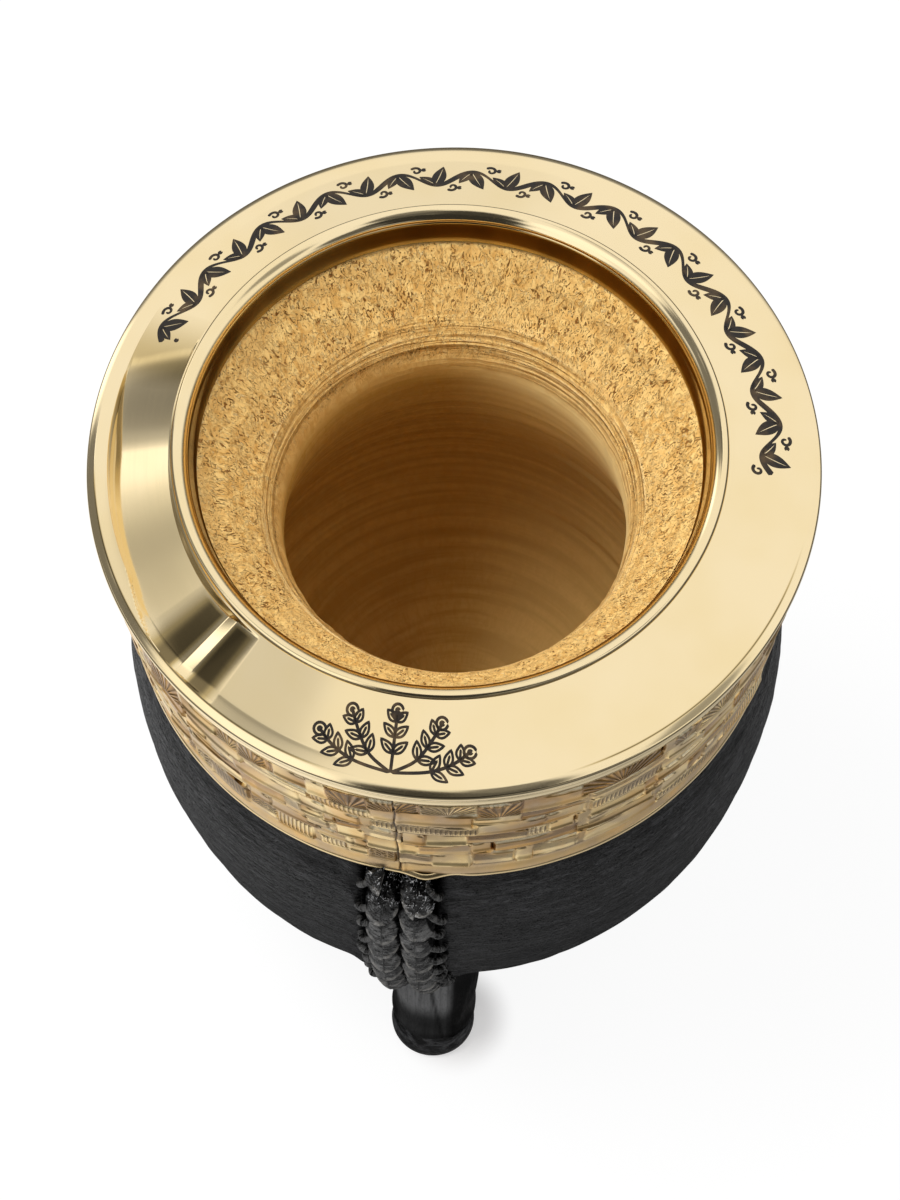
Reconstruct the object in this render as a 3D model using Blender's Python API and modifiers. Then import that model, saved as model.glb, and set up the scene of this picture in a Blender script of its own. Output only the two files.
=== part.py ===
"""Imperial mate gourd: a turned calabash in a laced leather cover on three legs, with a brass ferrule.

Units are metres and +Z is up. The origin is on the floor, on the cup's axis. The front leg points to -Y.
A depth is measured down from the widest circle of the brass lip, which lies LIP_HEIGHT above the floor.
"""

from math import atan, atan2, cos, hypot, pi, radians, sin, sqrt, tan

import bmesh
import bpy
from mathutils import Matrix, Vector

# Fits and turning
CLEARANCE = 0.0003
STEPS = 40

# Brass rim plate with its rest for the straw
LIP_RADIUS = 0.0475
LIP_ROUND = 0.0012
LIP_SKIRT = 0.0005
SHEET = 0.0009
FACE_RISE = 0.0033
MARGIN = 0.0029
REST_DEPTH = 0.0029
REST_WALL = 0.0010
REST_START = radians(163.0)
REST_FLOOR_START = radians(185.0)
REST_FLOOR_END = radians(217.0)
REST_END = radians(233.6)

# Collar with its bead, inside the rim plate
MOUTH_RADIUS = 0.0339
BEAD_WIDTH = 0.0019
BEAD_HEIGHT = 0.0006
COLLAR_DROP = 0.0042
COLLAR_TAPER = 0.0012

# Moulding, chased band and hem under the lip
MOULDING_SET_BACK = 0.0005
MOULDING_HEIGHT = 0.0020
MOULDING_WIDTH = 0.0014
BAND_SET_BACK = 0.0008
BAND_SHEET = 0.0008
BAND_DEPTH = 0.0346
BAND_TAPER = 0.0023
HEM_WIRE = 0.0006
HEM_SIDES = 8

# Leather cover
LEATHER = 0.0024
TUCK = 0.0105
BODY_BULGE = 0.0017
BULGE_DEPTH = 0.0495
BODY_DEPTH = 0.101
BASE_LIFT = 0.010
BASE_DRAW = 0.0128
BASE_POWER = 2.35
KNUCKLE = 0.014
PATCH_RADIUS = 0.020
PATCH_THICKNESS = 0.0012

# Gourd
NECK_REBATE = 0.0024
THROAT_RADIUS = 0.0229
THROAT_DEPTH = 0.0165
BOWL_DEPTH = 0.0610
WALL = 0.0124
BASE_WALL = 0.0080
BOWL_POWER = 2.4
FUNNEL_DISH = 0.0005

# Laced seam
SEAM_TURN = radians(-4.3)
SEAM_END_RISE = 0.0105
UNDERLAP = 0.0005
UNDERLAP_ROWS = 24
WELT_RADIUS = 0.0006
WELT_POINTS = 14
THONG_RADIUS = 0.00065
LACE_TURNS = 9
LOOP_POINTS = 24

# Legs
LEG_COUNT = 3
SOLE_RADIUS = 0.0067
SOLE_THICKNESS = 0.0020
SOLE_EDGE = 0.0004
SOLE_INSET = 0.0006
LEG_SET_BACK = 0.0015
LEG_RADIUS = 0.0058
LEG_FLARE = 0.0004
LEG_LEAN = radians(17.0)
LEG_LEATHER = 0.0014
LEG_SIDES = 20

# Radii and depths that follow from the sizes above
LIP_HEIGHT = BODY_DEPTH + BASE_LIFT
SEAM_END_DEPTH = BODY_DEPTH - SEAM_END_RISE
BEAD_RADIUS = MOUTH_RADIUS + BEAD_WIDTH
FACE_RADIUS = BEAD_RADIUS + CLEARANCE
LIP_BOTTOM = LIP_ROUND + LIP_SKIRT
MOULDING_TOP = LIP_BOTTOM + CLEARANCE
BAND_TOP = MOULDING_TOP + MOULDING_HEIGHT + CLEARANCE
BAND_TOP_RADIUS = LIP_RADIUS - BAND_SET_BACK
BAND_END_RADIUS = BAND_TOP_RADIUS - BAND_TAPER
HEM_RADIUS = BAND_END_RADIUS - BAND_SHEET / 2
HEM_DEPTH = BAND_DEPTH + CLEARANCE + HEM_WIRE
NECK_DEPTH = HEM_DEPTH + HEM_WIRE
NECK_RADIUS = HEM_RADIUS - HEM_WIRE - CLEARANCE
BODY_RADIUS = BAND_END_RADIUS + BODY_BULGE
COVER_TOP = BAND_DEPTH - TUCK
ROLL_RADIUS = WELT_RADIUS + CLEARANCE + 2 * THONG_RADIUS
ROLL_OFFSET = ROLL_RADIUS + CLEARANCE / 2
ROLL_LIFT = ROLL_RADIUS + CLEARANCE + UNDERLAP - LEATHER
SLOT_HALF_WIDTH = ROLL_OFFSET + ROLL_RADIUS + CLEARANCE
SOLE_CENTRE = BODY_RADIUS - SOLE_INSET - SOLE_RADIUS
FOOT_RADIUS = SOLE_CENTRE - LEG_SET_BACK


def clear_scene():
    for obj in list(bpy.data.objects):
        bpy.data.objects.remove(obj, do_unlink=True)


def new_collection(name):
    made = bpy.data.collections.new(name)
    bpy.context.scene.collection.children.link(made)
    return made


def new_material(name, colour, roughness, metallic=0.0):
    """A Principled material of one colour."""
    made = bpy.data.materials.new(name)
    made.use_nodes = True
    shader = made.node_tree.nodes["Principled BSDF"]
    shader.inputs["Base Color"].default_value = (*colour, 1.0)
    shader.inputs["Roughness"].default_value = roughness
    shader.inputs["Metallic"].default_value = metallic
    return made


def add_object(name, data, collection, material=None):
    made = bpy.data.objects.new(name, data)
    collection.objects.link(made)
    if material:
        data.materials.append(material)
    return made


def shade_round(mesh):
    mesh.shade_smooth()
    mesh.set_sharp_from_angle(angle=radians(35))


def as_cutter(obj):
    obj.hide_render = True
    obj.display_type = "WIRE"
    return obj


def at_depth(radius, depth):
    """A profile point, from its radius and its depth below the lip."""
    return radius, LIP_HEIGHT - depth


def arc(centre, radius, start, end, count):
    """Points on an arc in a profile, both ends included."""
    angles = [start + (end - start) * k / (count - 1) for k in range(count)]
    return [(centre[0] + radius * cos(a), centre[1] + radius * sin(a)) for a in angles]


def inset(profile, distance):
    """The profile moved by distance to the right of its direction, which is inward on an outer side."""
    moved = []
    for k, (radius, z) in enumerate(profile):
        before = profile[max(k - 1, 0)]
        after = profile[min(k + 1, len(profile) - 1)]
        run = (after[0] - before[0], after[1] - before[1])
        length = hypot(*run)
        moved.append((max(radius + run[1] / length * distance, 0.0), z - run[0] / length * distance))
    moved[-1] = (profile[-1][0], moved[-1][1])
    return moved


def turned(name, profile, collection, material):
    """A solid of revolution. The profile runs down its outer side and back up its inner side."""
    mesh = bpy.data.meshes.new(name)
    count = len(profile)
    ring = [(k, (k + 1) % count) for k in range(count)]
    ring = [(here, after) for here, after in ring if profile[here][0] or profile[after][0]]
    mesh.from_pydata([(radius, 0.0, z) for radius, z in profile], ring, [])
    obj = add_object(name, mesh, collection, material)
    screw = obj.modifiers.new("Turn", "SCREW")
    screw.axis = "Z"
    screw.steps = STEPS
    screw.render_steps = STEPS
    screw.use_merge_vertices = True
    screw.merge_threshold = 0.00001
    screw.use_smooth_shade = True
    return obj


def smooth_ramp(value, start, end):
    """0 before start and 1 after end, with a smooth ramp between them."""
    share = min(max((value - start) / (end - start), 0.0), 1.0)
    return share * share * (3.0 - 2.0 * share)


def face_height(radius):
    """Height of the sloping face above the lip's circle."""
    shoulder = LIP_RADIUS - LIP_ROUND
    return FACE_RISE * (shoulder - radius) / (shoulder - FACE_RADIUS)


def rest_share(angle):
    """How deep the straw rest is at an angle: 0 on the face and 1 on its floor."""
    entry = smooth_ramp(angle, REST_START, REST_FLOOR_START)
    leave = smooth_ramp(angle, REST_FLOOR_END, REST_END)
    return entry * (1.0 - leave)


def rest_drop(radius):
    """How far the floor of the rest lies below the face: the floor is level across its width."""
    inner = FACE_RADIUS + REST_WALL
    return REST_DEPTH - (face_height(inner) - face_height(radius))


def rim_section(angle):
    """The rim plate's section at one angle: out along its upper side, down round the lip and back below."""
    wall = FACE_RADIUS + REST_WALL
    crease = LIP_RADIUS - MARGIN
    shoulder = LIP_RADIUS - LIP_ROUND
    share = rest_share(angle)
    face = [(FACE_RADIUS, face_height(FACE_RADIUS))]
    for radius in (wall, (wall + crease) / 2, crease - REST_WALL):
        face.append((radius, face_height(radius) - share * max(rest_drop(radius), 0.0)))
    face.append((crease, face_height(crease)))
    lip = arc((shoulder, -LIP_ROUND), LIP_ROUND, pi / 2, 0.0, 4)
    lip.append((LIP_RADIUS, -LIP_BOTTOM))
    inner_round = max(LIP_ROUND - SHEET, CLEARANCE)
    corner = LIP_RADIUS - SHEET - inner_round
    under = [(LIP_RADIUS - SHEET, -LIP_BOTTOM)]
    under += arc((corner, -SHEET - inner_round), inner_round, 0.0, pi / 2, 3)
    under += [(radius, z - SHEET) for radius, z in reversed(face)]
    return face + lip + under


def make_rim_plate(collection, material):
    """The sheet with the sunk rest in it, lofted through its sections round the axis."""
    mesh = bpy.data.meshes.new("rim_plate")
    shape = bmesh.new()
    rings = []
    columns = 2 * STEPS
    for k in range(columns):
        angle = 2 * pi * k / columns
        points = [(r * cos(angle), r * sin(angle), LIP_HEIGHT + z) for r, z in rim_section(angle)]
        rings.append([shape.verts.new(point) for point in points])
    for k, here in enumerate(rings):
        after = rings[(k + 1) % columns]
        for i, corner in enumerate(here):
            nearest = (i + 1) % len(here)
            shape.faces.new((corner, here[nearest], after[nearest], after[i]))
    shape.to_mesh(mesh)
    shape.free()
    shade_round(mesh)
    return add_object("rim_plate", mesh, collection, material)


def make_collar(collection, material):
    """The bead round the mouth, with the short tapered wall below it."""
    top = face_height(FACE_RADIUS)
    foot = top - COLLAR_DROP
    half = BEAD_WIDTH / 2
    crown = [
        (MOUTH_RADIUS + half + half * cos(a), LIP_HEIGHT + top + BEAD_HEIGHT * sin(a))
        for a in (pi * k / 6 for k in range(6, -1, -1))
    ]
    profile = crown + [
        (BEAD_RADIUS, LIP_HEIGHT + top - SHEET),
        (MOUTH_RADIUS + SHEET, LIP_HEIGHT + top - SHEET - half),
        (MOUTH_RADIUS + SHEET - COLLAR_TAPER, LIP_HEIGHT + foot),
        (MOUTH_RADIUS - COLLAR_TAPER, LIP_HEIGHT + foot),
    ]
    return turned("collar", profile, collection, material)


def make_moulding(collection, material):
    """The half-round ring under the lip."""
    outer = LIP_RADIUS - MOULDING_SET_BACK
    half = MOULDING_HEIGHT / 2
    centre = at_depth(outer - half, MOULDING_TOP + half)
    profile = arc(centre, half, pi / 2, -pi / 2, 6)
    profile.append(at_depth(outer - MOULDING_WIDTH, MOULDING_TOP + MOULDING_HEIGHT))
    profile.append(at_depth(outer - MOULDING_WIDTH, MOULDING_TOP))
    return turned("moulding_ring", profile, collection, material)


def band_radius(depth):
    """Outer radius of the tapered band."""
    share = (depth - BAND_TOP) / (BAND_DEPTH - BAND_TOP)
    return BAND_TOP_RADIUS - BAND_TAPER * share


def make_band(collection, material):
    profile = [
        at_depth(BAND_TOP_RADIUS, BAND_TOP),
        at_depth(BAND_END_RADIUS, BAND_DEPTH),
        at_depth(BAND_END_RADIUS - BAND_SHEET, BAND_DEPTH),
        at_depth(BAND_TOP_RADIUS - BAND_SHEET, BAND_TOP),
    ]
    return turned("chased_band", profile, collection, material)


def make_hem(collection, material):
    """The wire ring that finishes the band's lower edge."""
    centre = at_depth(HEM_RADIUS, HEM_DEPTH)
    ring = arc(centre, HEM_WIRE, pi / 2, -3 * pi / 2, HEM_SIDES + 1)
    return turned("band_hem", ring[:-1], collection, material)


def make_bedding(collection, material):
    """The resin between the gourd's neck and the band, above the tucked edge of the leather."""
    inner = NECK_RADIUS - LEATHER
    top = BAND_TOP + BAND_SHEET
    bottom = COVER_TOP - CLEARANCE
    back = BAND_SHEET + CLEARANCE
    profile = [
        at_depth(band_radius(top) - back, top),
        at_depth(band_radius(bottom) - back, bottom),
        at_depth(inner, bottom),
        at_depth(inner, top),
    ]
    return turned("ferrule_bedding", profile, collection, material)


def body_radius(depth):
    """Outer radius of the leather: a neck, a quarter ellipse out to the bulge and a power curve below it."""
    if depth <= NECK_DEPTH:
        return NECK_RADIUS
    if depth < BULGE_DEPTH:
        fullness = 1.0 - (NECK_RADIUS / BODY_RADIUS) ** 2
        share = (BULGE_DEPTH - depth) / (BULGE_DEPTH - NECK_DEPTH)
        return BODY_RADIUS * sqrt(1.0 - fullness * share * share)
    share = (depth - BULGE_DEPTH) / (BODY_DEPTH - BULGE_DEPTH)
    return BODY_RADIUS - BASE_DRAW * share**BASE_POWER


def body_lean(depth):
    """Angle between the lower body's outline and the vertical."""
    step = 0.00001
    return atan((body_radius(depth) - body_radius(depth + step)) / step)


def knuckle_depth():
    """Depth at which the round of the base leaves the body's side, tangent to it."""
    low = BULGE_DEPTH
    high = BODY_DEPTH
    for _ in range(40):
        middle = (low + high) / 2
        if middle + KNUCKLE * (1.0 - sin(body_lean(middle))) < BODY_DEPTH:
            low = middle
        else:
            high = middle
    return low


def cover_profile():
    """The leather's outer side, from its tucked edge down to the axis."""
    profile = [at_depth(NECK_RADIUS, COVER_TOP), at_depth(NECK_RADIUS, NECK_DEPTH)]
    for k in (1, 2):
        depth = NECK_DEPTH + (BULGE_DEPTH - NECK_DEPTH) * k / 3
        profile.append(at_depth(body_radius(depth), depth))
    start = knuckle_depth()
    sides = 4
    for k in range(sides):
        depth = BULGE_DEPTH + (start - BULGE_DEPTH) * k / sides
        profile.append(at_depth(body_radius(depth), depth))
    lean = body_lean(start)
    centre = (body_radius(start) - KNUCKLE * cos(lean), LIP_HEIGHT - BODY_DEPTH + KNUCKLE)
    profile += arc(centre, KNUCKLE, -lean, -pi / 2, 5)
    profile.append(at_depth(0.0, BODY_DEPTH))
    return profile


def seam_frame():
    """Turns what is built along -Y to the seam."""
    return Matrix.Rotation(SEAM_TURN, 4, "Z")


def make_cover(collection, cutters, material):
    """The leather skin, open at the top and slit down the front where the seam lies."""
    outer = cover_profile()
    inner = inset(outer, LEATHER)
    obj = turned("leather_cover", outer + inner[::-1], collection, material)
    slot = make_slot(cutters)
    cut = obj.modifiers.new("Seam slot", "BOOLEAN")
    cut.object = slot
    return obj


def make_slot(cutters):
    """A box that opens the cover along the seam, from above its edge to the seam's lower end."""
    mesh = bpy.data.meshes.new("seam_slot")
    shape = bmesh.new()
    bmesh.ops.create_cube(shape, size=1.0)
    low = LIP_HEIGHT - SEAM_END_DEPTH - CLEARANCE
    high = LIP_HEIGHT - COVER_TOP + LEATHER
    reach = BODY_RADIUS / 2
    size = Vector((2 * SLOT_HALF_WIDTH, reach, high - low))
    centre = Vector((0.0, -BODY_RADIUS, (low + high) / 2))
    shape.transform(Matrix.Translation(centre) @ Matrix.Diagonal((*size, 1.0)))
    shape.transform(seam_frame())
    shape.to_mesh(mesh)
    shape.free()
    return as_cutter(add_object("seam_slot", mesh, cutters))


def seam_path(lift, start, end, count):
    """Points (distance from the axis, height) along the front of the body, lifted off the leather's face."""
    outline = []
    for k in range(count):
        depth = start + (end - start) * k / (count - 1)
        outline.append(at_depth(body_radius(depth), depth))
    return inset(outline, -lift)


def make_underlap(collection, material):
    """The leather strip under the laced rolls, lying on the gourd in the slot."""
    path = seam_path(UNDERLAP - LEATHER, COVER_TOP + CLEARANCE, SEAM_END_DEPTH - CLEARANCE, UNDERLAP_ROWS)
    half = SLOT_HALF_WIDTH - CLEARANCE
    mesh = bpy.data.meshes.new("seam_underlap")
    shape = bmesh.new()
    rows = [[shape.verts.new((side * half, -r, z)) for side in (-1, 1)] for r, z in path]
    for upper, lower in zip(rows, rows[1:]):
        shape.faces.new((upper[0], lower[0], lower[1], upper[1]))
    shape.transform(seam_frame())
    shape.to_mesh(mesh)
    shape.free()
    obj = add_object("seam_underlap", mesh, collection, material)
    strip = obj.modifiers.new("Strip", "SOLIDIFY")
    strip.thickness = UNDERLAP
    strip.offset = -1.0
    return obj


def tube(name, points, radius, roundness, collection, material):
    """A round strand through the points, with closed ends."""
    curve = bpy.data.curves.new(name, "CURVE")
    curve.dimensions = "3D"
    curve.bevel_depth = radius
    curve.bevel_resolution = roundness
    curve.use_fill_caps = True
    spline = curve.splines.new("POLY")
    spline.points.add(len(points) - 1)
    for place, point in zip(spline.points, points):
        place.co = (*point, 1.0)
    return add_object(name, curve, collection, material)


def roll_path(side, count):
    """Centre line of one laced roll, on its side of the seam, as points with the outward direction there."""
    start = NECK_DEPTH + CLEARANCE + ROLL_RADIUS
    path = seam_path(ROLL_LIFT, start, SEAM_END_DEPTH - ROLL_RADIUS, count)
    turn = seam_frame()
    placed = []
    for k, (r, z) in enumerate(path):
        before = path[max(k - 1, 0)]
        after = path[min(k + 1, count - 1)]
        outward = atan2(before[0] - after[0], before[1] - after[1])
        point = turn @ Vector((side * ROLL_OFFSET, -r, z))
        normal = turn @ Vector((0.0, -cos(outward), -sin(outward)))
        placed.append((point, normal))
    return placed


def make_roll(word, side, collection, leather, thong):
    """One side of the seam: the turned-out leather edge as a round welt, and the thong wound round it."""
    centre = [point for point, _ in roll_path(side, WELT_POINTS)]
    tube(f"seam_welt_{word}", centre, WELT_RADIUS, 2, collection, leather)
    count = LACE_TURNS * LOOP_POINTS + 1
    across = seam_frame() @ Vector((1.0, 0.0, 0.0))
    swing = WELT_RADIUS + CLEARANCE + THONG_RADIUS
    coil = []
    for k, (point, normal) in enumerate(roll_path(side, count)):
        turn = 2 * pi * k / LOOP_POINTS
        coil.append(point + swing * (cos(turn) * normal + side * sin(turn) * across))
    tube(f"seam_lace_{word}", coil, THONG_RADIUS, 1, collection, thong)
    return coil


def least_gap(coil):
    """Least clear distance between one turn of the thong and the next, measured on its points."""
    apart = LOOP_POINTS - LOOP_POINTS // 4
    gaps = [
        (first - second).length
        for k, first in enumerate(coil)
        for second in coil[k + apart :]
    ]
    return min(gaps) - 2 * THONG_RADIUS


def bowl_profile():
    """The gourd's inside, from the axis at its floor up through the throat to the mouth's edge."""
    floor = BODY_DEPTH - LEATHER - CLEARANCE - BASE_WALL
    widest = BODY_RADIUS - LEATHER - CLEARANCE - WALL
    edge = MOUTH_RADIUS - COLLAR_TAPER
    top = COLLAR_DROP - FACE_RISE + CLEARANCE
    lower = 6
    upper = 6
    profile = []
    for k in range(lower):
        turn = pi / 2 * k / lower
        radius = widest * sin(turn) ** (2 / BOWL_POWER)
        depth = BOWL_DEPTH + (floor - BOWL_DEPTH) * cos(turn) ** (2 / BOWL_POWER)
        profile.append(at_depth(radius, depth))
    for k in range(upper):
        share = k / upper
        depth = BOWL_DEPTH - (BOWL_DEPTH - THROAT_DEPTH) * share
        profile.append(at_depth(widest - (widest - THROAT_RADIUS) * smooth_ramp(share, 0.0, 1.0), depth))
    profile.append(at_depth(THROAT_RADIUS, THROAT_DEPTH))
    profile.append(at_depth((THROAT_RADIUS + edge) / 2 - FUNNEL_DISH, (THROAT_DEPTH + top) / 2))
    profile.append(at_depth(edge, top))
    return profile


def make_gourd(collection, material):
    """The calabash, with its rebated top under the ferrule and its bowl turned out."""
    outer = inset(cover_profile(), LEATHER + CLEARANCE)
    inside = bowl_profile()
    neck = outer[0][0]
    edge = MOUTH_RADIUS - COLLAR_TAPER
    top = COLLAR_DROP - FACE_RISE + CLEARANCE
    rebate = top + NECK_REBATE
    crown = [
        at_depth((edge + neck) / 2 - NECK_REBATE / 2, top),
        at_depth((edge + neck) / 2 + NECK_REBATE / 2, rebate),
        at_depth(neck, rebate),
    ]
    return turned("gourd_shell", crown + outer[1:] + inside, collection, material)


def make_patch(collection, material):
    """The round leather patch under the base."""
    top = BODY_DEPTH + CLEARANCE
    profile = [
        at_depth(0.0, top),
        at_depth(PATCH_RADIUS, top),
        at_depth(PATCH_RADIUS, top + PATCH_THICKNESS),
        at_depth(0.0, top + PATCH_THICKNESS),
    ]
    return turned("base_patch", profile, collection, material)


def cone(name, bottom, top, length, collection, material=None):
    """A closed cone frustum that stands on its own origin."""
    mesh = bpy.data.meshes.new(name)
    shape = bmesh.new()
    bmesh.ops.create_cone(
        shape, cap_ends=True, segments=LEG_SIDES, radius1=bottom, radius2=top, depth=length
    )
    bmesh.ops.translate(shape, vec=(0.0, 0.0, length / 2), verts=shape.verts)
    shape.to_mesh(mesh)
    shape.free()
    shade_round(mesh)
    return add_object(name, mesh, collection, material)


def cut_by(obj, *cutters):
    for cutter in cutters:
        cut = obj.modifiers.new(cutter.name, "BOOLEAN")
        cut.object = cutter


def make_leg_cutters(cutters):
    """The space that the body takes, and the space that the soles and the floor take."""
    body = inset(cover_profile(), -CLEARANCE)
    body[0] = (0.0, body[0][1])
    space = as_cutter(turned("body_space", body, cutters, None))
    width = 4 * LIP_RADIUS
    mesh = bpy.data.meshes.new("floor_space")
    shape = bmesh.new()
    bmesh.ops.create_cube(shape, size=1.0)
    top = SOLE_THICKNESS + CLEARANCE
    place = Matrix.Translation((0.0, 0.0, top - width / 2))
    shape.transform(place @ Matrix.Diagonal((width, width, width, 1.0)))
    shape.to_mesh(mesh)
    shape.free()
    return space, as_cutter(add_object("floor_space", mesh, cutters))


def leg_reach():
    """Length of a leg up its leaning axis, at which even the sleeve's outer edge lies inside the body."""
    width = LEG_RADIUS + LEG_FLARE
    low = 0.0
    high = BODY_DEPTH
    for _ in range(40):
        middle = (low + high) / 2
        radius = FOOT_RADIUS - middle * sin(LEG_LEAN) + width * cos(LEG_LEAN)
        height = SOLE_THICKNESS + middle * cos(LEG_LEAN) + width * sin(LEG_LEAN)
        if radius > body_radius(LIP_HEIGHT - height):
            low = middle
        else:
            high = middle
    return low + LEATHER / 2


def make_leg(word, angle, spaces, collection, cutters, leather, wood, sole):
    """One leg: a leaning peg in a leather sleeve, standing on its sole."""
    outward = Vector((cos(angle), sin(angle), 0.0))
    lean = Matrix.Rotation(LEG_LEAN, 4, Vector((outward.y, -outward.x, 0.0)))
    foot = outward * FOOT_RADIUS
    sunk = LEG_RADIUS * tan(LEG_LEAN)
    length = leg_reach() + sunk
    start = foot + Vector((0.0, 0.0, SOLE_THICKNESS)) - lean @ Vector((0.0, 0.0, sunk))
    peg = LEG_RADIUS - LEG_LEATHER - CLEARANCE
    bore = peg + CLEARANCE
    sleeve = cone(f"leg_sleeve_{word}", LEG_RADIUS, LEG_RADIUS + LEG_FLARE, length, collection, leather)
    hollow = as_cutter(cone(f"leg_hollow_{word}", bore, bore, length + LEATHER, cutters))
    core = cone(f"leg_peg_{word}", peg, peg, length, collection, wood)
    for piece in (sleeve, hollow, core):
        piece.matrix_world = Matrix.Translation(start) @ lean
    cut_by(sleeve, hollow, *spaces)
    cut_by(core, *spaces)
    pad = cone(f"leg_sole_{word}", SOLE_RADIUS, SOLE_RADIUS, SOLE_THICKNESS, collection, sole)
    pad.location = outward * SOLE_CENTRE
    edge = pad.modifiers.new("Edge", "BEVEL")
    edge.width = SOLE_EDGE
    edge.segments = 1


def build():
    clear_scene()
    parts = new_collection("imperial_mate_gourd")
    cutters = new_collection("cutters")
    brass = new_material("polished_brass", (0.80, 0.66, 0.38), 0.14, 1.0)
    chased = new_material("chased_brass", (0.72, 0.56, 0.31), 0.30, 1.0)
    resin = new_material("bedding_resin", (0.35, 0.27, 0.16), 0.60)
    calabash = new_material("calabash", (0.72, 0.50, 0.24), 0.75)
    black_leather = new_material("black_leather", (0.022, 0.022, 0.024), 0.50)
    laced_thong = new_material("black_thong", (0.012, 0.012, 0.013), 0.28)
    peg_wood = new_material("peg_wood", (0.45, 0.30, 0.17), 0.70)
    sole_leather = new_material("sole_leather", (0.03, 0.03, 0.03), 0.55)
    make_rim_plate(parts, brass)
    make_collar(parts, brass)
    make_moulding(parts, brass)
    make_band(parts, chased)
    make_hem(parts, brass)
    make_bedding(parts, resin)
    make_gourd(parts, calabash)
    make_cover(parts, cutters, black_leather)
    make_underlap(parts, black_leather)
    gaps = []
    for word, side in (("left", -1), ("right", 1)):
        gaps.append(least_gap(make_roll(word, side, parts, black_leather, laced_thong)))
    make_patch(parts, black_leather)
    spaces = make_leg_cutters(cutters)
    for k, word in enumerate(("front", "right", "left")):
        angle = -pi / 2 + 2 * pi * k / LEG_COUNT
        make_leg(word, angle, spaces, parts, cutters, black_leather, peg_wood, sole_leather)
    print(f"least gap between turns of the lacing: {min(gaps) * 1000:.2f} mm")


build()
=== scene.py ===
"""Imperial mate gourd: a turned calabash in laced leather, under a polished and chased brass ferrule.

Lengths are millimetres until a mesh is made, and angles are degrees round the axis, from +X towards +Y.
A level is a height above the plane of the brass lip, so most levels are negative.
"""

import math

import bpy
import numpy as np
from mathutils import Matrix, Vector


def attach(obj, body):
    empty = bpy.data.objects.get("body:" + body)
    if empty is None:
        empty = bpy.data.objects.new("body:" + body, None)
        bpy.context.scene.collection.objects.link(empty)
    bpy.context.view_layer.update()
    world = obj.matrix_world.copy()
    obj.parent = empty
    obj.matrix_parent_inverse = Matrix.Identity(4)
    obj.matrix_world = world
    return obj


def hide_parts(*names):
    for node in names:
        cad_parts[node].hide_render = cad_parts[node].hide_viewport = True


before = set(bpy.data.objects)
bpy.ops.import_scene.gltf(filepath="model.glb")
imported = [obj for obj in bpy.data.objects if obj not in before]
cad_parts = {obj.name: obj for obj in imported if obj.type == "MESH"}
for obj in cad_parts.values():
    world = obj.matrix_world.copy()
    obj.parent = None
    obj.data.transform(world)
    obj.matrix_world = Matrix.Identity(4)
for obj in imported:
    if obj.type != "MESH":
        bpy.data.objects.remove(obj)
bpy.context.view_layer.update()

# Scale, a whole turn, and the plane of the lip
MM = 0.001
CIRCLE = 2 * math.pi
LIP_LEVEL = 111.0

# How a grid of points is closed, along its rows and along its columns
RING = (True, True)
TUBE = (True, False)
DISC = (False, True)

# Camera fitted to the photograph, in the part's frame
CAMERA_PLACE = (20.73, -203.43, 499.56)
CAMERA_PITCH = 64.672
CAMERA_ROLL = -1.0
CAMERA_TURN = 6.05
FOCAL_LENGTH = 102.0
SENSOR_HEIGHT = 36.0

# Rim plate, and the rest for the straw sunk in it
LIP_RADIUS = 47.5
LIP_ROUND = 1.2
LIP_LEAN = (23.0, 30.0)
SHOULDER = LIP_RADIUS - LIP_ROUND
MARGIN_RADIUS = 44.5
MARGIN_SLOPE = math.tan(math.radians(8.0))
PLATE_INNER = 35.75
PLATE_RISE = 3.35
SHEET = 0.9
INNER_SHIFT = (-0.55, -0.06)
REST_ENTRY = 184.0
REST_START = (158.0, 164.0)
REST_CLIMB = 215.6
REST_END = 234.2
REST_DEPTH = (2.9, 2.4)
REST_SHOULDER = 36.05
REST_FLOOR = (36.35, 44.2)
# Radius of the painted dark reflection line in the margin
DARK_LINE_RADIUS = 46.36

# Collar and bead
MOUTH_RADIUS = 33.75
BEAD_OUTER = 35.85
BEAD_ROUND = 0.55
COLLAR_FOOT_RADIUS = 32.7
COLLAR_FOOT = -0.9

# Band, hem and leather
BAND_TOP = 4.3
BAND_DEPTH = 34.6
BAND_TOP_RADIUS = 46.7
BAND_END_RADIUS = 44.4
BAND_MEAN = 45.6
BAND_WALL = 0.8
CHASED = (5.3, 30.6)
HEM_RADIUS = 44.02
HEM_LEVEL = -35.15
SEAM_ANGLE = 265.7
NECK_RADIUS = 43.1
NECK_DEPTH = 36.1
COVER_TOP = 24.1
BODY_RADIUS = 46.1
BULGE_DEPTH = 49.5
BODY_DEPTH = 101.0
BASE_DRAW = 12.8
BASE_POWER = 2.35
KNUCKLE = 14.0
LEATHER = 2.4

# Lacing
ROLL_START = 36.2
ROLL_END = 90.5
ROLL_OFFSET = 2.30
ROLL_WRAPS = 8.6
STRAP_WIDTH = 8.2
STRAP_THICKNESS = 0.48
WELT_RADIUS = 1.22
WELT_LIFT = 0.62

# Legs
FOOT_RADIUS = 37.7
SOLE_RADIUS = 6.3
SOLE_CENTRE = 39.2
SOLE_TOP = 2.0
LEG_LEAN = 17.0
LEG_LENGTH = 21.0

# Engraved ornament on the face
VINE_RADIUS = 41.2
VINE_ENDS = (162.0, 0.0)
VINE_WAVES = 12
SPRAY_ANGLE = 265.2
SPRAY_RADIUS = 41.0

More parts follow.
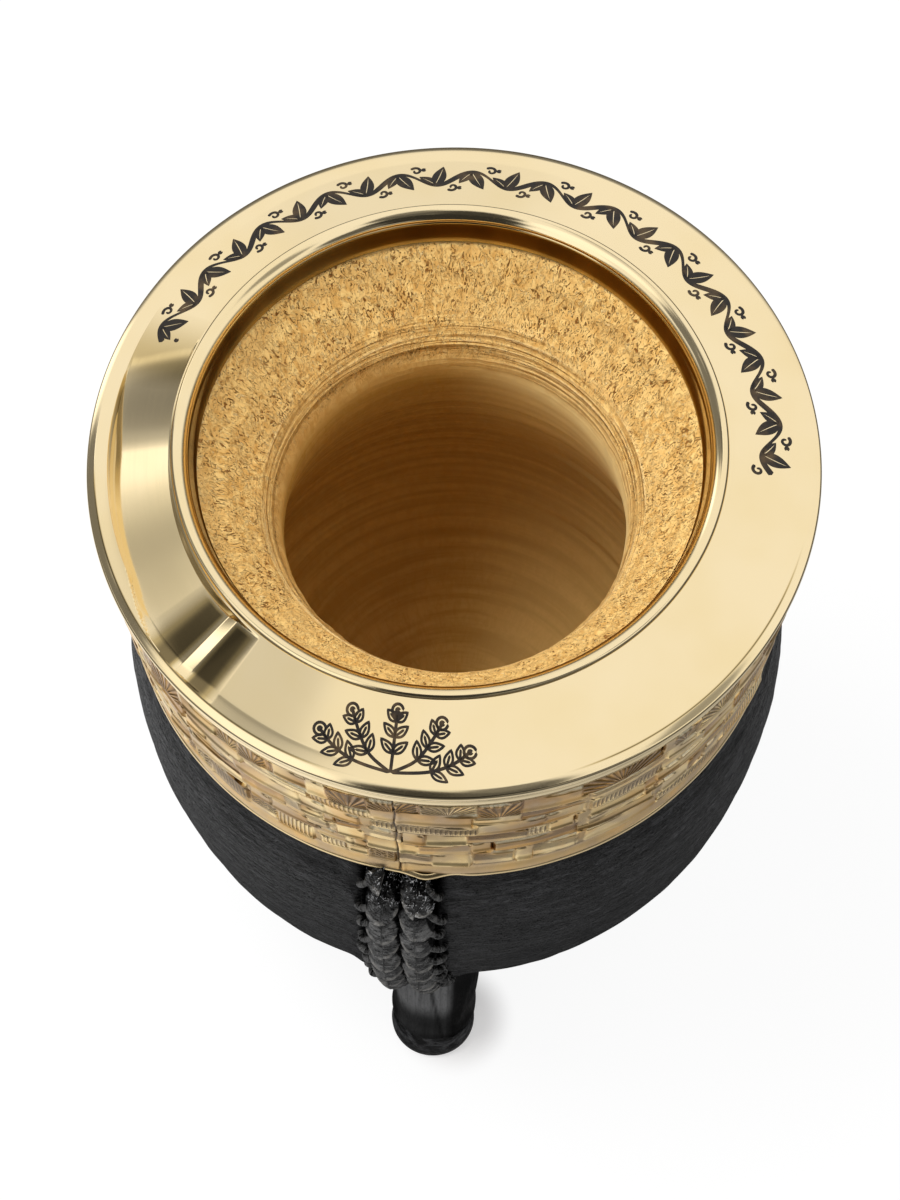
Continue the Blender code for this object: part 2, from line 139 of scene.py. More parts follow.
# Colours of brass
POLISHED_BRASS = (0.93, 0.765, 0.475)
HEM_BRASS = (0.86, 0.66, 0.36)
# Brown: painted dull reflections on the rest, and browning on the collar wall
BROWN_AND_PAINTED_DULL_REFLECTION = (0.56, 0.42, 0.19)
# Painted pale reflection in a corner of the rest
PAINTED_PALE_REFLECTION = (1.0, 0.97, 0.90)
# Dark brown: a painted dark reflection line in the margin, and deeper browning on the collar wall
DARK_BROWN_AND_PAINTED_LINE = (0.16, 0.12, 0.06)
# Ends of each chased face's tone, which holds a random tone and painted reflection shading
CHASED_DEEP = (0.45, 0.25, 0.08)
CHASED_PALE = (1.0, 0.77, 0.39)
GREY_SMUDGE = (0.46, 0.34, 0.22)
ORANGE_SMUDGE = (0.85, 0.50, 0.16)
CUT_LINE = (0.20, 0.115, 0.035)
# Painted highlight on the bevelled edges of the chasing
PAINTED_EDGE_HIGHLIGHT = (1.0, 0.90, 0.64)
# Dark cuts and dots, and painted shade along lower edges of the chasing
DARK_GROOVE_AND_PAINTED_SHADE = (0.075, 0.040, 0.012)
BURNT_BLACK = (0.012, 0.008, 0.005)
BURNT_BROWN = (0.085, 0.052, 0.022)

# Colours of gourd, wood and resin
FLESH_DEEP = (0.75, 0.42, 0.112)
FLESH_PALE = (1.0, 0.69, 0.26)
FLESH_PATCH = (0.84, 0.545, 0.195)
PALE_FLECK = (0.93, 0.70, 0.34)
RING_PALE = (0.93, 0.68, 0.33)
RING_DARK = (0.44, 0.215, 0.05)
PIT_BROWN = (0.235, 0.080, 0.010)
BOWL_DEEP = (0.43, 0.235, 0.045)
BOWL_PALE = (0.56, 0.33, 0.085)
BOWL_MOTTLE = (0.40, 0.205, 0.036)
# Painted light on the side of the bowl that faces the lamp
PAINTED_LIGHT_IN_BOWL = (1.0, 0.78, 0.36)
WOOD_DARK = (0.36, 0.22, 0.11)
WOOD_PALE = (0.55, 0.38, 0.21)
RESIN_DARK = (0.22, 0.15, 0.08)
RESIN_PALE = (0.38, 0.29, 0.17)

# Colours of leather
HIDE_BLACK = (0.0105, 0.0105, 0.0112)
HIDE_DUST = (0.034, 0.035, 0.037)
HIDE_CRACK = (0.003, 0.003, 0.003)
# Painted shade: black that reflects nothing, beside the seam and in the lacing's tucks
PAINTED_SHADE_BLACK = (0.001, 0.001, 0.001)
SOLE_BLACK = (0.012, 0.012, 0.0125)
SLEEVE_BLACK = (0.0015, 0.0015, 0.0015)
# Painted light on the fronts of the legs
SLEEVE_PAINTED_LIGHT = (0.27, 0.27, 0.272)
SLEEVE_FLECK = (0.008, 0.008, 0.008)
THONG_BLACK = (0.0008, 0.0008, 0.001)
# Painted sheen on the thong's ridges
PAINTED_RIDGE_SHEEN = (0.17, 0.168, 0.165)
THONG_DARK_TOP = (0.002, 0.002, 0.002)
# Painted sheen on the thong's lower edges
PAINTED_EDGE_SHEEN = (0.36, 0.345, 0.32)
GLINT = (0.90, 0.91, 0.93)

# Colours of the floor
FLOOR_DEEP = (0.095, 0.095, 0.095)
FLOOR_PALE = (0.11, 0.11, 0.11)
FLOOR_AT_FOOT = (0.62, 0.60, 0.59)

# Kinds of strike in the top, middle and bottom rows of the chasing
STRIKES = {
    "top": ["fan", "plain", "fan"],
    "middle": ["plain"] * 9 + ["ticks"],
    "bottom": ["ticks", "cross", "plain", "plain"],
}

# Cards and dark corners of the studio that the brass reflects: azimuth, height, inner and outer half-angle, level
STUDIO_CARDS = [
    (160.0, 56.5, 8.5, 13.0, 0.82),
    (156.0, 50.8, 1.5, 4.0, 0.50),
    (199.0, 64.0, 6.0, 10.0, 0.74),
    (168.0, 73.0, 4.0, 9.0, 0.35),
    (170.0, 47.5, 2.5, 8.5, 0.26),
    (176.5, 51.5, 2.5, 6.0, 0.22),
    (164.0, 41.5, 4.5, 8.0, 0.14),
    (158.6, 42.3, 1.5, 6.0, 0.24),
    (165.0, 22.0, 13.0, 17.5, 0.20),
    (184.0, 27.0, 9.0, 13.0, 0.20),
    (181.0, 40.0, 5.0, 8.0, 0.18),
    (151.0, 34.0, 4.0, 7.0, 0.12),
    (143.5, 10.0, 2.0, 11.0, 1.75),
    (145.6, 43.2, 2.2, 4.6, 1.40),
    (207.0, 42.0, 8.0, 12.0, 1.25),
    (228.0, 42.0, 12.0, 16.0, 1.25),
    (234.0, 16.0, 13.0, 17.0, 1.20),
    (266.0, 26.0, 14.0, 18.0, 0.03),
    (290.0, 26.0, 14.0, 19.0, 0.03),
    (308.0, 20.0, 9.0, 14.0, 0.12),
    (265.0, 46.5, 11.0, 14.0, 0.05),
    (290.0, 50.0, 9.0, 12.0, 0.10),
    (290.0, 58.0, 5.0, 8.0, 0.20),
    (268.0, 8.0, 14.0, 20.0, 0.03),
    (345.0, 46.0, 6.0, 10.0, 0.35),
    (336.0, 40.0, 6.0, 10.0, 0.35),
    (100.0, 20.0, 6.0, 18.0, 0.92),
]


def ramp(value, start, end):
    """Smooth step: 0 before start, 1 after end."""
    share = np.clip((value - start) / (end - start), 0.0, 1.0)
    return share * share * (3.0 - 2.0 * share)


def fall(value, start, end):
    """Smooth step down: 1 before start, 0 after end."""
    return 1.0 - ramp(value, start, end)


def window(value, start, full, fade, end):
    """Smooth step up from start to full, and down from fade to end."""
    return ramp(value, start, full) * fall(value, fade, end)


def hump(value, centre, width):
    """Bell curve, 1 at the centre."""
    return np.exp(-(((value - centre) / width) ** 2))


def blend(first, second, share):
    """First at share 0, second at share 1."""
    return first + (second - first) * share


def unit(vectors):
    """Vectors brought to length 1."""
    return vectors / np.linalg.norm(vectors, axis=-1, keepdims=True)


def noise(u, v, seed, period=256):
    """Smooth noise from -1 to 1: random values on the whole numbers of (u, v), joined by smooth steps. It repeats
    along u after period."""
    table = np.random.default_rng(seed).uniform(-1.0, 1.0, (period, 256))
    cell_u, cell_v = np.floor(u).astype(int), np.floor(v).astype(int)
    share_u = ramp(u - cell_u, 0.0, 1.0)
    share_v = ramp(v - cell_v, 0.0, 1.0)
    this, beside = cell_u % period, (cell_u + 1) % period
    low, high = (blend(table[this, row % 256], table[beside, row % 256], share_u) for row in (cell_v, cell_v + 1))
    return blend(low, high, share_v)


def noise_round(angles, cells, v, seed):
    """Smooth noise with a whole number of cells round the axis."""
    return noise(angles[None] * cells / CIRCLE, v, seed, cells)


def path_length(points):
    """Distance along a line of points, from its first one."""
    steps = np.linalg.norm(np.diff(points, axis=0), axis=1)
    return np.concatenate([[0.0], np.cumsum(steps)])


def resample(points, count):
    """Points at even distances along a line."""
    along = path_length(points)
    wanted = np.linspace(0.0, along[-1], count)
    return np.stack([np.interp(wanted, along, axis) for axis in points.T], axis=1)


def smooth_line(points, count):
    """A smooth line through the given points: each stretch is a cubic whose slopes come from its neighbours."""
    points = np.asarray(points, float)
    before = np.vstack([2 * points[0] - points[1], points[:-1]])
    after = np.vstack([points[1:], 2 * points[-1] - points[-2]])
    slopes = (after - before) / 2
    place = np.linspace(0, len(points) - 1, count)
    index = np.minimum(place.astype(int), len(points) - 2)
    t = (place - index)[:, None]
    return (
        (2 * t**3 - 3 * t**2 + 1) * points[index]
        + (t**3 - 2 * t**2 + t) * slopes[index]
        + (3 * t**2 - 2 * t**3) * points[index + 1]
        + (t**3 - t**2) * slopes[index + 1]
    )


def polar(radius, turn, height):
    """Points from a radius, an angle in radians and a height."""
    return np.stack(np.broadcast_arrays(radius * np.cos(turn), radius * np.sin(turn), height), axis=-1)


def make_mesh(name, points, closed, fields=None, sharp=40.0):
    """Mesh over a grid of points in millimetres. Points that meet, as at a pole, become one, faces turn outwards, and
    edges sharper than an angle in degrees stay sharp. Fields are values or vectors kept at the points."""
    rows, columns = points.shape[:2]
    flat = points.reshape(-1, 3) * MM
    _, first, index = np.unique(np.round(flat, 8), axis=0, return_index=True, return_inverse=True)
    index = index.reshape(rows, columns)
    here = np.arange(rows if closed[0] else rows - 1)
    side = np.arange(columns if closed[1] else columns - 1)
    below = (here + 1) % rows
    beside = (side + 1) % columns
    corners = [index[here][:, side], index[below][:, side], index[below][:, beside], index[here][:, beside]]
    quads = np.stack(corners, axis=-1).reshape(-1, 4)
    keep = quads != np.roll(quads, -1, axis=1)
    sides = keep.sum(axis=1)
    quads, keep, sides = quads[sides > 2], keep[sides > 2], sides[sides > 2]
    verts = flat[first]
    fans = verts[quads]
    halves = [np.einsum("ij,ij->i", np.cross(fans[:, 0], fans[:, k]), fans[:, k + 1]).sum() for k in (1, 2)]
    if sum(halves) < 0:
        quads = quads[:, ::-1]
        keep = quads != np.roll(quads, -1, axis=1)
    loops = quads[keep]
    mesh = bpy.data.meshes.new(name)
    mesh.vertices.add(len(verts))
    mesh.vertices.foreach_set("co", verts.ravel())
    mesh.loops.add(len(loops))
    mesh.loops.foreach_set("vertex_index", loops.astype(np.int32))
    mesh.polygons.add(len(quads))
    starts = np.concatenate([[0], np.cumsum(sides)[:-1]])
    mesh.polygons.foreach_set("loop_start", starts.astype(np.int32))
    mesh.polygons.foreach_set("use_smooth", np.ones(len(quads), bool))
    mesh.update(calc_edges=True)
    mesh.validate()
    mesh.set_sharp_from_angle(angle=math.radians(sharp))
    for field, values in (fields or {}).items():
        vector = values.ndim == 3
        made = mesh.attributes.new(field, "FLOAT_VECTOR" if vector else "FLOAT", "POINT")
        values = values.reshape(-1, 3)[first] if vector else values.reshape(-1)[first]
        made.data.foreach_set("vector" if vector else "value", values.ravel().astype(np.float32))
    return mesh


def add_piece(name, mesh, material, slot, *nodes):
    """Puts a finished piece on the part and lets it stand for its CAD nodes."""
    piece = bpy.data.objects.new(name, mesh)
    bpy.context.scene.collection.objects.link(piece)
    mesh.materials.append(material)
    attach(piece, "root")
    if nodes:
        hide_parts(*nodes)


def add_surface(name, points, closed, fields, material, slot, *nodes, sharp=40.0):
    """Makes a grid of points a mesh and puts it on the part."""
    add_piece(name, make_mesh(name, points, closed, fields, sharp), material, slot, *nodes)


def join_meshes(name, meshes):
    """One mesh from several closed ones."""
    holder = [bpy.data.objects.new(name, mesh) for mesh in meshes]
    for obj in holder:
        bpy.context.scene.collection.objects.link(obj)
    with bpy.context.temp_override(
        active_object=holder[0], selected_editable_objects=holder, selected_objects=holder
    ):
        bpy.ops.object.join()
    joined = holder[0].data
    bpy.data.objects.remove(holder[0])
    return joined


def around(radius, level, angles):
    """Points of a turned surface, from radius and level at each profile point and angle, in the part's frame. The
    mouth sits a little off the lip's centre, so radii shift by degrees from the lip inwards."""
    radius, level = np.broadcast_arrays(radius, level + 0.0 * angles)
    shift = np.clip((LIP_RADIUS - radius) / (LIP_RADIUS - 35.0), 0.0, 1.0) * (radius > 30.0)
    x = radius * np.cos(angles) + INNER_SHIFT[0] * shift
    y = radius * np.sin(angles) + INNER_SHIFT[1] * shift
    return np.stack([x, y, LIP_LEVEL + level], axis=-1)


def grain_field(points, along, scale=45.0):
    """Pattern coordinates that follow a turned surface: a circle of fixed radius, and the distance along."""
    return polar(scale, np.arctan2(points[..., 1], points[..., 0]), along)


def every(count):
    """Angles of whole-circle columns, in radians."""
    return np.arange(count) * 2 * math.pi / count


class Nodes:
    """A tree of shader nodes under construction. Inputs are sockets or plain values."""

    def __init__(self, tree):
        self.tree = tree

    def node(self, kind, inputs, **settings):
        made = self.tree.nodes.new("ShaderNode" + kind)
        for key, value in settings.items():
            setattr(made, key, value)
        for key, value in inputs.items():
            if isinstance(value, bpy.types.NodeSocket):
                self.tree.links.new(value, made.inputs[key])
            else:
                made.inputs[key].default_value = value
        return made

    def vector_math(self, operation, first, second=(0.0, 0.0, 0.0), output="Value"):
        return self.node("VectorMath", {0: first, 1: second}, operation=operation).outputs[output]

    def stretch(self, vector, factors):
        return self.vector_math("MULTIPLY", vector, factors, "Vector")

    def axis(self, vector, letter):
        return self.node("SeparateXYZ", {0: vector}).outputs[letter]

    def span(self, value, low, high, to_low=0.0, to_high=1.0, smooth=True):
        """The value's place between low and high, brought to lie between to_low and to_high."""
        inputs = {0: value, 1: low, 2: high, 3: to_low, 4: to_high}
        kind = "SMOOTHSTEP" if smooth else "LINEAR"
        return self.node("MapRange", inputs, interpolation_type=kind).outputs[0]

    def math(self, operation, first, second=0.0):
        return self.node("Math", {0: first, 1: second}, operation=operation).outputs[0]

    def times(self, first, second):
        return self.math("MULTIPLY", first, second)

    def mix(self, share, first, second):
        """Colour between first and second."""
        ends = [end if isinstance(end, bpy.types.NodeSocket) else (*end, 1.0) for end in (first, second)]
        return self.node("Mix", {0: share, 6: ends[0], 7: ends[1]}, data_type="RGBA").outputs[2]


class Finish(Nodes):
    """A material: a Principled shader and the nodes that feed it."""

    def __init__(self, name, **shader):
        self.material = bpy.data.materials.new(name)
        self.material.use_nodes = True
        super().__init__(self.material.node_tree)
        self.shader = self.tree.nodes["Principled BSDF"]
        for socket, value in shader.items():
            self.shader.inputs[socket.replace("_", " ")].default_value = value

    def place(self):
        """Object coordinates, in millimetres."""
        return self.stretch(self.node("TexCoord", {}).outputs["Object"], (1000.0, 1000.0, 1000.0))

    def field(self, name, kind="Fac"):
        return self.node("Attribute", {}, attribute_name=name).outputs[kind]

    def grain(self):
        return self.field("grain", "Vector")

    def noise(self, vector, scale, detail=2.0, roughness=0.55, distortion=0.0):
        inputs = {"Vector": vector, "Scale": scale, "Detail": detail, "Roughness": roughness, "Distortion": distortion}
        return self.node("TexNoise", inputs).outputs["Fac"]

    def streaks(self, vector, factors, detail=2.0, roughness=0.55, distortion=0.0, scale=1.0):
        """Noise on stretched coordinates."""
        return self.noise(self.stretch(vector, factors), scale, detail, roughness, distortion)

    def cells(self, vector, scale):
        return self.node("TexVoronoi", {"Vector": vector, "Scale": scale}).outputs["Distance"]

    def coats(self, colour, *coats):
        """A colour with others laid over it, each given as (share, colour)."""
        for share, over in coats:
            colour = self.mix(share, colour, over)
        return colour

    def paint(self, socket, value):
        self.tree.links.new(value, self.shader.inputs[socket])

    def bump(self, *heights):
        """Chains bumps from (height, strength, millimetres) on the shader's normal."""
        below = {}
        for height, strength, distance in heights:
            inputs = {"Strength": strength, "Distance": distance * MM, "Height": height, **below}
            below = {"Normal": self.node("Bump", inputs).outputs["Normal"]}
        self.paint("Normal", below["Normal"])


def polished_brass(name="polished_brass_finish", colour=POLISHED_BRASS, roughness=0.11):
    """Bright lacquered brass: faint clouding, circular polishing lines and a few fine nicks. A field laid on it gives
    a painted pale reflection at -1; brown at 1, which is a painted dull reflection on the rest and browning on the
    collar wall; and dark brown at 2, a painted dark reflection line in the margin and deeper browning on the collar
    wall."""
    clouded = (colour[0] * 0.97, colour[1] * 0.95, colour[2] * 0.88)
    brass = Finish(name, Metallic=1.0)
    place = brass.place()
    browning_and_painted_reflection = brass.field("browning_and_painted_reflection")
    cloud = brass.noise(place, 0.05, 3.0)
    lines = brass.streaks(brass.grain(), (0.06, 0.06, 9.0), 3.0)
    nicks = brass.span(brass.noise(place, 2.4, 4.0), 0.68, 0.75)
    brass.paint("Base Color", brass.coats(
        colour,
        (brass.span(cloud, 0.35, 0.7), clouded),
        # Painted reflections on the rest and in the margin, and browning on the collar wall
        (brass.span(browning_and_painted_reflection, 0.0, 1.0, smooth=False), BROWN_AND_PAINTED_DULL_REFLECTION),
        (brass.span(browning_and_painted_reflection, 0.0, -1.0, smooth=False), PAINTED_PALE_REFLECTION),
        (brass.span(browning_and_painted_reflection, 1.0, 2.0), DARK_BROWN_AND_PAINTED_LINE),
    ))
    rough = brass.span(lines, 0.3, 0.7, roughness * 0.9, roughness * 1.12)
    brass.paint("Roughness", brass.math("ADD", rough, brass.span(cloud, 0.3, 0.75, 0.0, 0.025)))
    brass.bump((lines, 0.012, 0.015), (cloud, 0.08, 0.20), (nicks, 0.03, 0.015))
    return brass.material


def chased_brass():
    """Brass struck with rectangles: each face is lighter or darker at random, with painted reflection shading across
    it, and has smudges, dark cut lines and grooves, a painted shade line along part of its lower edge, and painted
    highlights on its bevelled edges that are pale and hardly metallic."""
    brass = Finish("chased_brass_finish")
    grain = brass.grain()
    depth = brass.field("cut_depth")
    smudge = brass.noise(grain, 0.26, 1.0, 0.4)
    fine = brass.noise(grain, 1.6, 3.0)
    wave = brass.math("SINE", brass.field("cut_phase"))
    cut = brass.times(brass.span(wave, 0.15, 0.85), depth)
    streak = brass.streaks(grain, (0.5, 0.5, 0.8), 1.0, 0.4, scale=0.9)
    shine = brass.times(brass.span(streak, 0.32, 0.48, 0.25, 1.0), brass.field("gleam"))
    brass.paint("Base Color", brass.coats(
        CHASED_DEEP,
        (brass.span(brass.field("tone"), -1.0, 1.0), CHASED_PALE),
        (brass.span(smudge, 0.48, 0.68, 0.0, 0.5), GREY_SMUDGE),
        (brass.span(smudge, 0.46, 0.30, 0.0, 0.5), ORANGE_SMUDGE),
        (brass.times(cut, 0.85), CUT_LINE),
        # Painted highlight on the bevelled edges
        (shine, PAINTED_EDGE_HIGHLIGHT),
        # Dark cuts and dots, and the painted shade line along lower edges
        (brass.span(brass.field("groove"), 0.15, 0.85, 0.0, 0.94), DARK_GROOVE_AND_PAINTED_SHADE),
    ))
    # The painted highlight is made hardly metallic, so it stays pale
    brass.paint("Metallic", brass.span(shine, 0.0, 0.8, 1.0, 0.25))
    brass.paint("Roughness", brass.math("ADD", brass.span(fine, 0.3, 0.7, 0.27, 0.34), brass.times(shine, 0.24)))
    brass.bump((brass.field("height"), 1.0, 1.5), (brass.times(wave, depth), 0.6, 0.16), (fine, 0.08, 0.04))
    return brass.material


def engraving():
    """Burnt black line with brown where the metal shows through."""
    line = Finish("engraving_finish", Metallic=0.3, Roughness=0.42)
    place = line.place()
    wear_and_painted_light = line.span(line.noise(place, 0.35, 4.0), 0.45, 0.75)
    line.paint("Base Color", line.mix(wear_and_painted_light, BURNT_BLACK, BURNT_BROWN))
    line.bump((line.noise(place, 3.0, 2.0), 0.3, 0.03))
    return line.material


def calabash():
    """Turned gourd: tan flesh with short dark pits and pale flecks, pale and dark tool rings, and a darker, faintly
    ringed bowl, with painted light on the side that faces the lamp."""
    gourd = Finish("calabash_finish", Specular_IOR_Level=0.25)
    grain = gourd.grain()
    inside = gourd.field("inside")
    rings = gourd.field("rings")
    outside = gourd.span(inside, 0.0, 0.2, 1.0, 0.0)
    patch = gourd.noise(grain, 0.16, 3.0)
    mottle = gourd.streaks(grain, (1.0, 1.0, 0.7), 3.0, 0.65, 0.8, scale=0.9)
    worm = gourd.streaks(grain, (1.9, 1.9, 0.85), 2.0, 0.5, 1.9)
    tool = gourd.streaks(grain, (0.035, 0.035, 1.15), 2.0, 0.6, 0.25)
    turned = gourd.streaks(grain, (0.03, 0.03, 0.55), 3.0, 0.6)
    crowd = gourd.span(gourd.noise(grain, 0.40, 3.0), 0.42, 0.62, 0.25, 1.0)
    pits = gourd.times(gourd.span(worm, 0.440, 0.375), crowd)
    dots = gourd.span(gourd.cells(gourd.stretch(grain, (1.5, 1.5, 1.1)), 1.0), 0.16, 0.06, 0.0, 0.7)
    marks = gourd.times(gourd.math("MAXIMUM", pits, dots), outside)
    marks = gourd.times(marks, gourd.span(rings, 0.2, 0.9, 1.0, 0.25))
    flecks = gourd.times(gourd.span(worm, 0.60, 0.70, 0.0, 0.75), outside)
    flesh = gourd.coats(
        FLESH_DEEP,
        (gourd.span(mottle, 0.34, 0.66), FLESH_PALE),
        (gourd.span(patch, 0.35, 0.68, 0.0, 0.5), FLESH_PATCH),
        (flecks, PALE_FLECK),
        (gourd.times(gourd.span(tool, 0.53, 0.64, 0.0, 0.7), rings), RING_PALE),
        (gourd.times(gourd.span(tool, 0.52, 0.40, 0.0, 0.5), rings), RING_DARK),
        (gourd.times(marks, 0.92), PIT_BROWN),
    )
    # Painted light: the inner wall that faces the lamp is paler, less so further down
    toward = gourd.vector_math("DOT_PRODUCT", grain, (0.90, 0.43, 0.0))
    painted_bowl_light = gourd.times(gourd.span(toward, 7.0, 24.0), gourd.span(gourd.axis(grain, "Z"), 32.0, 56.0, 1.0, 0.25))
    darkening = gourd.coats(
        BOWL_DEEP,
        (gourd.span(turned, 0.35, 0.65), BOWL_PALE),
        (gourd.span(mottle, 0.35, 0.7, 0.0, 0.3), BOWL_MOTTLE),
        (painted_bowl_light, PAINTED_LIGHT_IN_BOWL),
    )
    gourd.paint("Base Color", gourd.mix(gourd.span(inside, 0.05, 0.45), flesh, darkening))
    gourd.paint("Roughness", gourd.span(mottle, 0.3, 0.7, 0.60, 0.82))
    height = gourd.math("SUBTRACT", flecks, gourd.times(marks, 1.6))
    gourd.bump((height, 1.0, 0.30), (gourd.times(mottle, outside), 0.45, 0.45), (gourd.times(tool, rings), 1.0, 1.2))
    return gourd.material


def black_leather(name="black_leather_finish", tint=HIDE_BLACK, gloss=0.44, wrinkle=1.0):
    """Dyed hide: creases that run round the body, a fine grain, and a painted grey sheen on the high places. In the
    hollow beside the seam it is painted shade: black, and metallic so that it reflects nothing."""
    hide = Finish(name, Specular_IOR_Level=0.34)
    grain = hide.grain()
    hollow = hide.field("hollow")
    wave = hide.streaks(grain, (0.20, 0.20, 1.0), 5.0, 0.68, 0.9)
    crease = hide.streaks(grain, (0.45, 0.45, 1.7), 3.0, 0.6, 1.2)
    fine = hide.streaks(grain, (1.1, 1.1, 3.2), 3.0, 0.6)
    pebble = hide.cells(grain, 2.1)
    dust = hide.noise(grain, 0.11, 4.0)
    cracks = hide.span(crease, 0.47, 0.36)
    hide.paint("Base Color", hide.coats(
        tuple(0.35 * c for c in tint),
        # Painted sheen: grey on the crests of the creases
        (hide.span(wave, 0.44, 0.64), tuple(5.6 * c for c in tint)),
        (hide.span(dust, 0.45, 0.75, 0.0, 0.45), HIDE_DUST),
        (hide.times(cracks, 0.7), HIDE_CRACK),
        # Painted shade in the hollow beside the seam
        (hollow, PAINTED_SHADE_BLACK),
    ))
    # Metallic and black, the hollow reflects nothing: painted shade
    hide.paint("Metallic", hollow)
    hide.paint("Roughness", hide.span(fine, 0.3, 0.7, gloss - 0.07, gloss + 0.13))
    high = hide.math("SUBTRACT", wave, hide.times(cracks, 0.35))
    hide.bump((high, 1.0 * wrinkle, 2.1), (fine, 0.8 * wrinkle, 0.45), (pebble, 0.25, 0.10))
    return hide.material


def worn_sleeve():
    """Hide of the legs: dull black, with painted light in grey over the front, and faint upright marks."""
    hide = Finish("sleeve_hide_finish", Specular_IOR_Level=0.12)
    grain = hide.grain()
    drag = hide.streaks(grain, (0.55, 0.55, 0.10), 3.0, 0.6)
    fine = hide.noise(grain, 1.3, 3.0, 0.6)
    hide.paint("Base Color", hide.coats(
        SLEEVE_BLACK,
        # Painted light on the front
        (hide.times(hide.field("painted_lit_front"), hide.span(drag, 0.25, 0.6, 0.55, 1.0)), SLEEVE_PAINTED_LIGHT),
        (hide.span(fine, 0.45, 0.75, 0.0, 0.3), SLEEVE_FLECK),
    ))
    hide.paint("Roughness", hide.span(fine, 0.3, 0.7, 0.46, 0.62))
    hide.bump((drag, 0.5, 0.4), (fine, 0.35, 0.15))
    return hide.material


def black_thong():
    """Greased lacing strap: black, with painted sheen on ridges along its length and on its lower edges, darker and
    glossier near its top end with painted glints there, and painted shade, black and unreflecting, where a turn is
    tucked under the next and on the sides and back of each turn."""
    strap = Finish("black_thong_finish", Specular_IOR_Level=0.38)
    grain = strap.grain()
    wet = strap.field("wet")
    painted_sheen_and_shade = strap.field("painted_sheen_and_shade")
    coil = strap.stretch(grain, (0.05, 0.05, 1.0))
    ridge = strap.streaks(grain, (0.022, 0.022, 1.15), 3.0, 0.6)
    lump = strap.noise(coil, 0.9, 2.0)
    worm = strap.noise(coil, 0.95, 2.0, 0.5, 1.2)
    crumple = strap.times(strap.noise(coil, 0.9, 3.0, 0.6), wet)
    edge = strap.times(strap.span(painted_sheen_and_shade, 0.0, 1.0), strap.span(lump, 0.38, 0.58))
    painted_tuck_shade = strap.span(painted_sheen_and_shade, 0.0, -1.0)
    glint = strap.span(strap.math("ABSOLUTE", strap.math("SUBTRACT", worm, 0.5)), 0.030, 0.012)
    glint = strap.times(glint, strap.times(strap.span(wet, 0.80, 0.97), strap.span(lump, 0.48, 0.56)))
    strap.paint("Base Color", strap.coats(
        THONG_BLACK,
        # Painted sheen on the ridges
        (strap.span(ridge, 0.46, 0.58), PAINTED_RIDGE_SHEEN),
        (strap.span(wet, 0.35, 0.85, 0.0, 0.9), THONG_DARK_TOP),
        # Painted sheen on the lower edges
        (edge, PAINTED_EDGE_SHEEN),
        # Painted shade where a turn is tucked under the next, and on the sides and back of each turn
        (painted_tuck_shade, PAINTED_SHADE_BLACK),
        # Painted glints near the top end
        (glint, GLINT),
    ))
    # Metallic and black, the tucks reflect nothing: painted shade
    strap.paint("Metallic", painted_tuck_shade)
    rough = strap.math("SUBTRACT", strap.span(lump, 0.3, 0.7, 0.26, 0.46), strap.times(wet, 0.18))
    strap.paint("Roughness", strap.math("ADD", rough, strap.times(painted_tuck_shade, 0.4)))
    strap.bump((ridge, 1.0, 0.6), (lump, 0.6, 0.5), (crumple, 1.0, 1.4))
    return strap.material


def peg_wood():
    """Plain turned wood, hidden in the sleeves."""
    wood = Finish("peg_wood_finish", Roughness=0.7)
    rings = wood.streaks(wood.place(), (0.5, 0.5, 0.06), 3.0)
    wood.paint("Base Color", wood.mix(wood.span(rings, 0.35, 0.65), WOOD_DARK, WOOD_PALE))
    wood.bump((rings, 0.3, 0.2))
    return wood.material


def bedding_resin():
    """Amber resin with small bubbles, inside the ferrule."""
    resin = Finish("bedding_resin_finish", Roughness=0.55)
    bubbles = resin.cells(resin.place(), 1.2)
    resin.paint("Base Color", resin.mix(resin.span(bubbles, 0.1, 0.5), RESIN_DARK, RESIN_PALE))
    resin.bump((bubbles, 0.3, 0.2))
    return resin.material


def plate_level(radius):
    """Level of the rim plate: a cone inside the margin and a flatter cone on it, joined by a soft bend."""
    rise = MARGIN_SLOPE * (SHOULDER - MARGIN_RADIUS)
    cone = (PLATE_RISE - rise) / (MARGIN_RADIUS - PLATE_INNER)
    bend = 0.12
    inside = MARGIN_RADIUS - radius
    soft = (inside + np.sqrt(inside * inside + bend)) / 2
    return MARGIN_SLOPE * (SHOULDER - radius) + (cone - MARGIN_SLOPE) * soft


def across_rest(radius):
    """Place across the rest's floor: 0 at its inner foot, 1 at its outer foot."""
    return np.clip((radius - REST_FLOOR[0]) / (REST_FLOOR[1] - REST_FLOOR[0]), 0.0, 1.0)


def rest_share(degrees, radius):
    """Depth share of the straw rest: an easy way down at the back, a floor, and a climb that ends in an edge. The
    climb is part of a cosine wave, with a straight share and a short steep step in it."""
    entry = ramp(degrees, blend(*REST_START, across_rest(radius)), REST_ENTRY)
    climb = np.clip((degrees - REST_CLIMB) / (REST_END - REST_CLIMB), 0.0, 1.0)
    turn = math.pi / 1.08
    wave = (1.0 - np.cos(turn * climb)) / (1.0 - math.cos(turn))
    step = np.clip((climb - 0.515) / 0.15, 0.0, 1.0)
    leave = blend(blend(wave, climb, 0.16), step, 0.29)
    return entry * (1.0 - leave)


def outer_wall(degrees):
    """Radius of the foot of the rest's outer wall, which swings out over the climb, as far as the lip."""
    return REST_FLOOR[1] + 1.65 * ramp(degrees, 205.0, 221.0)


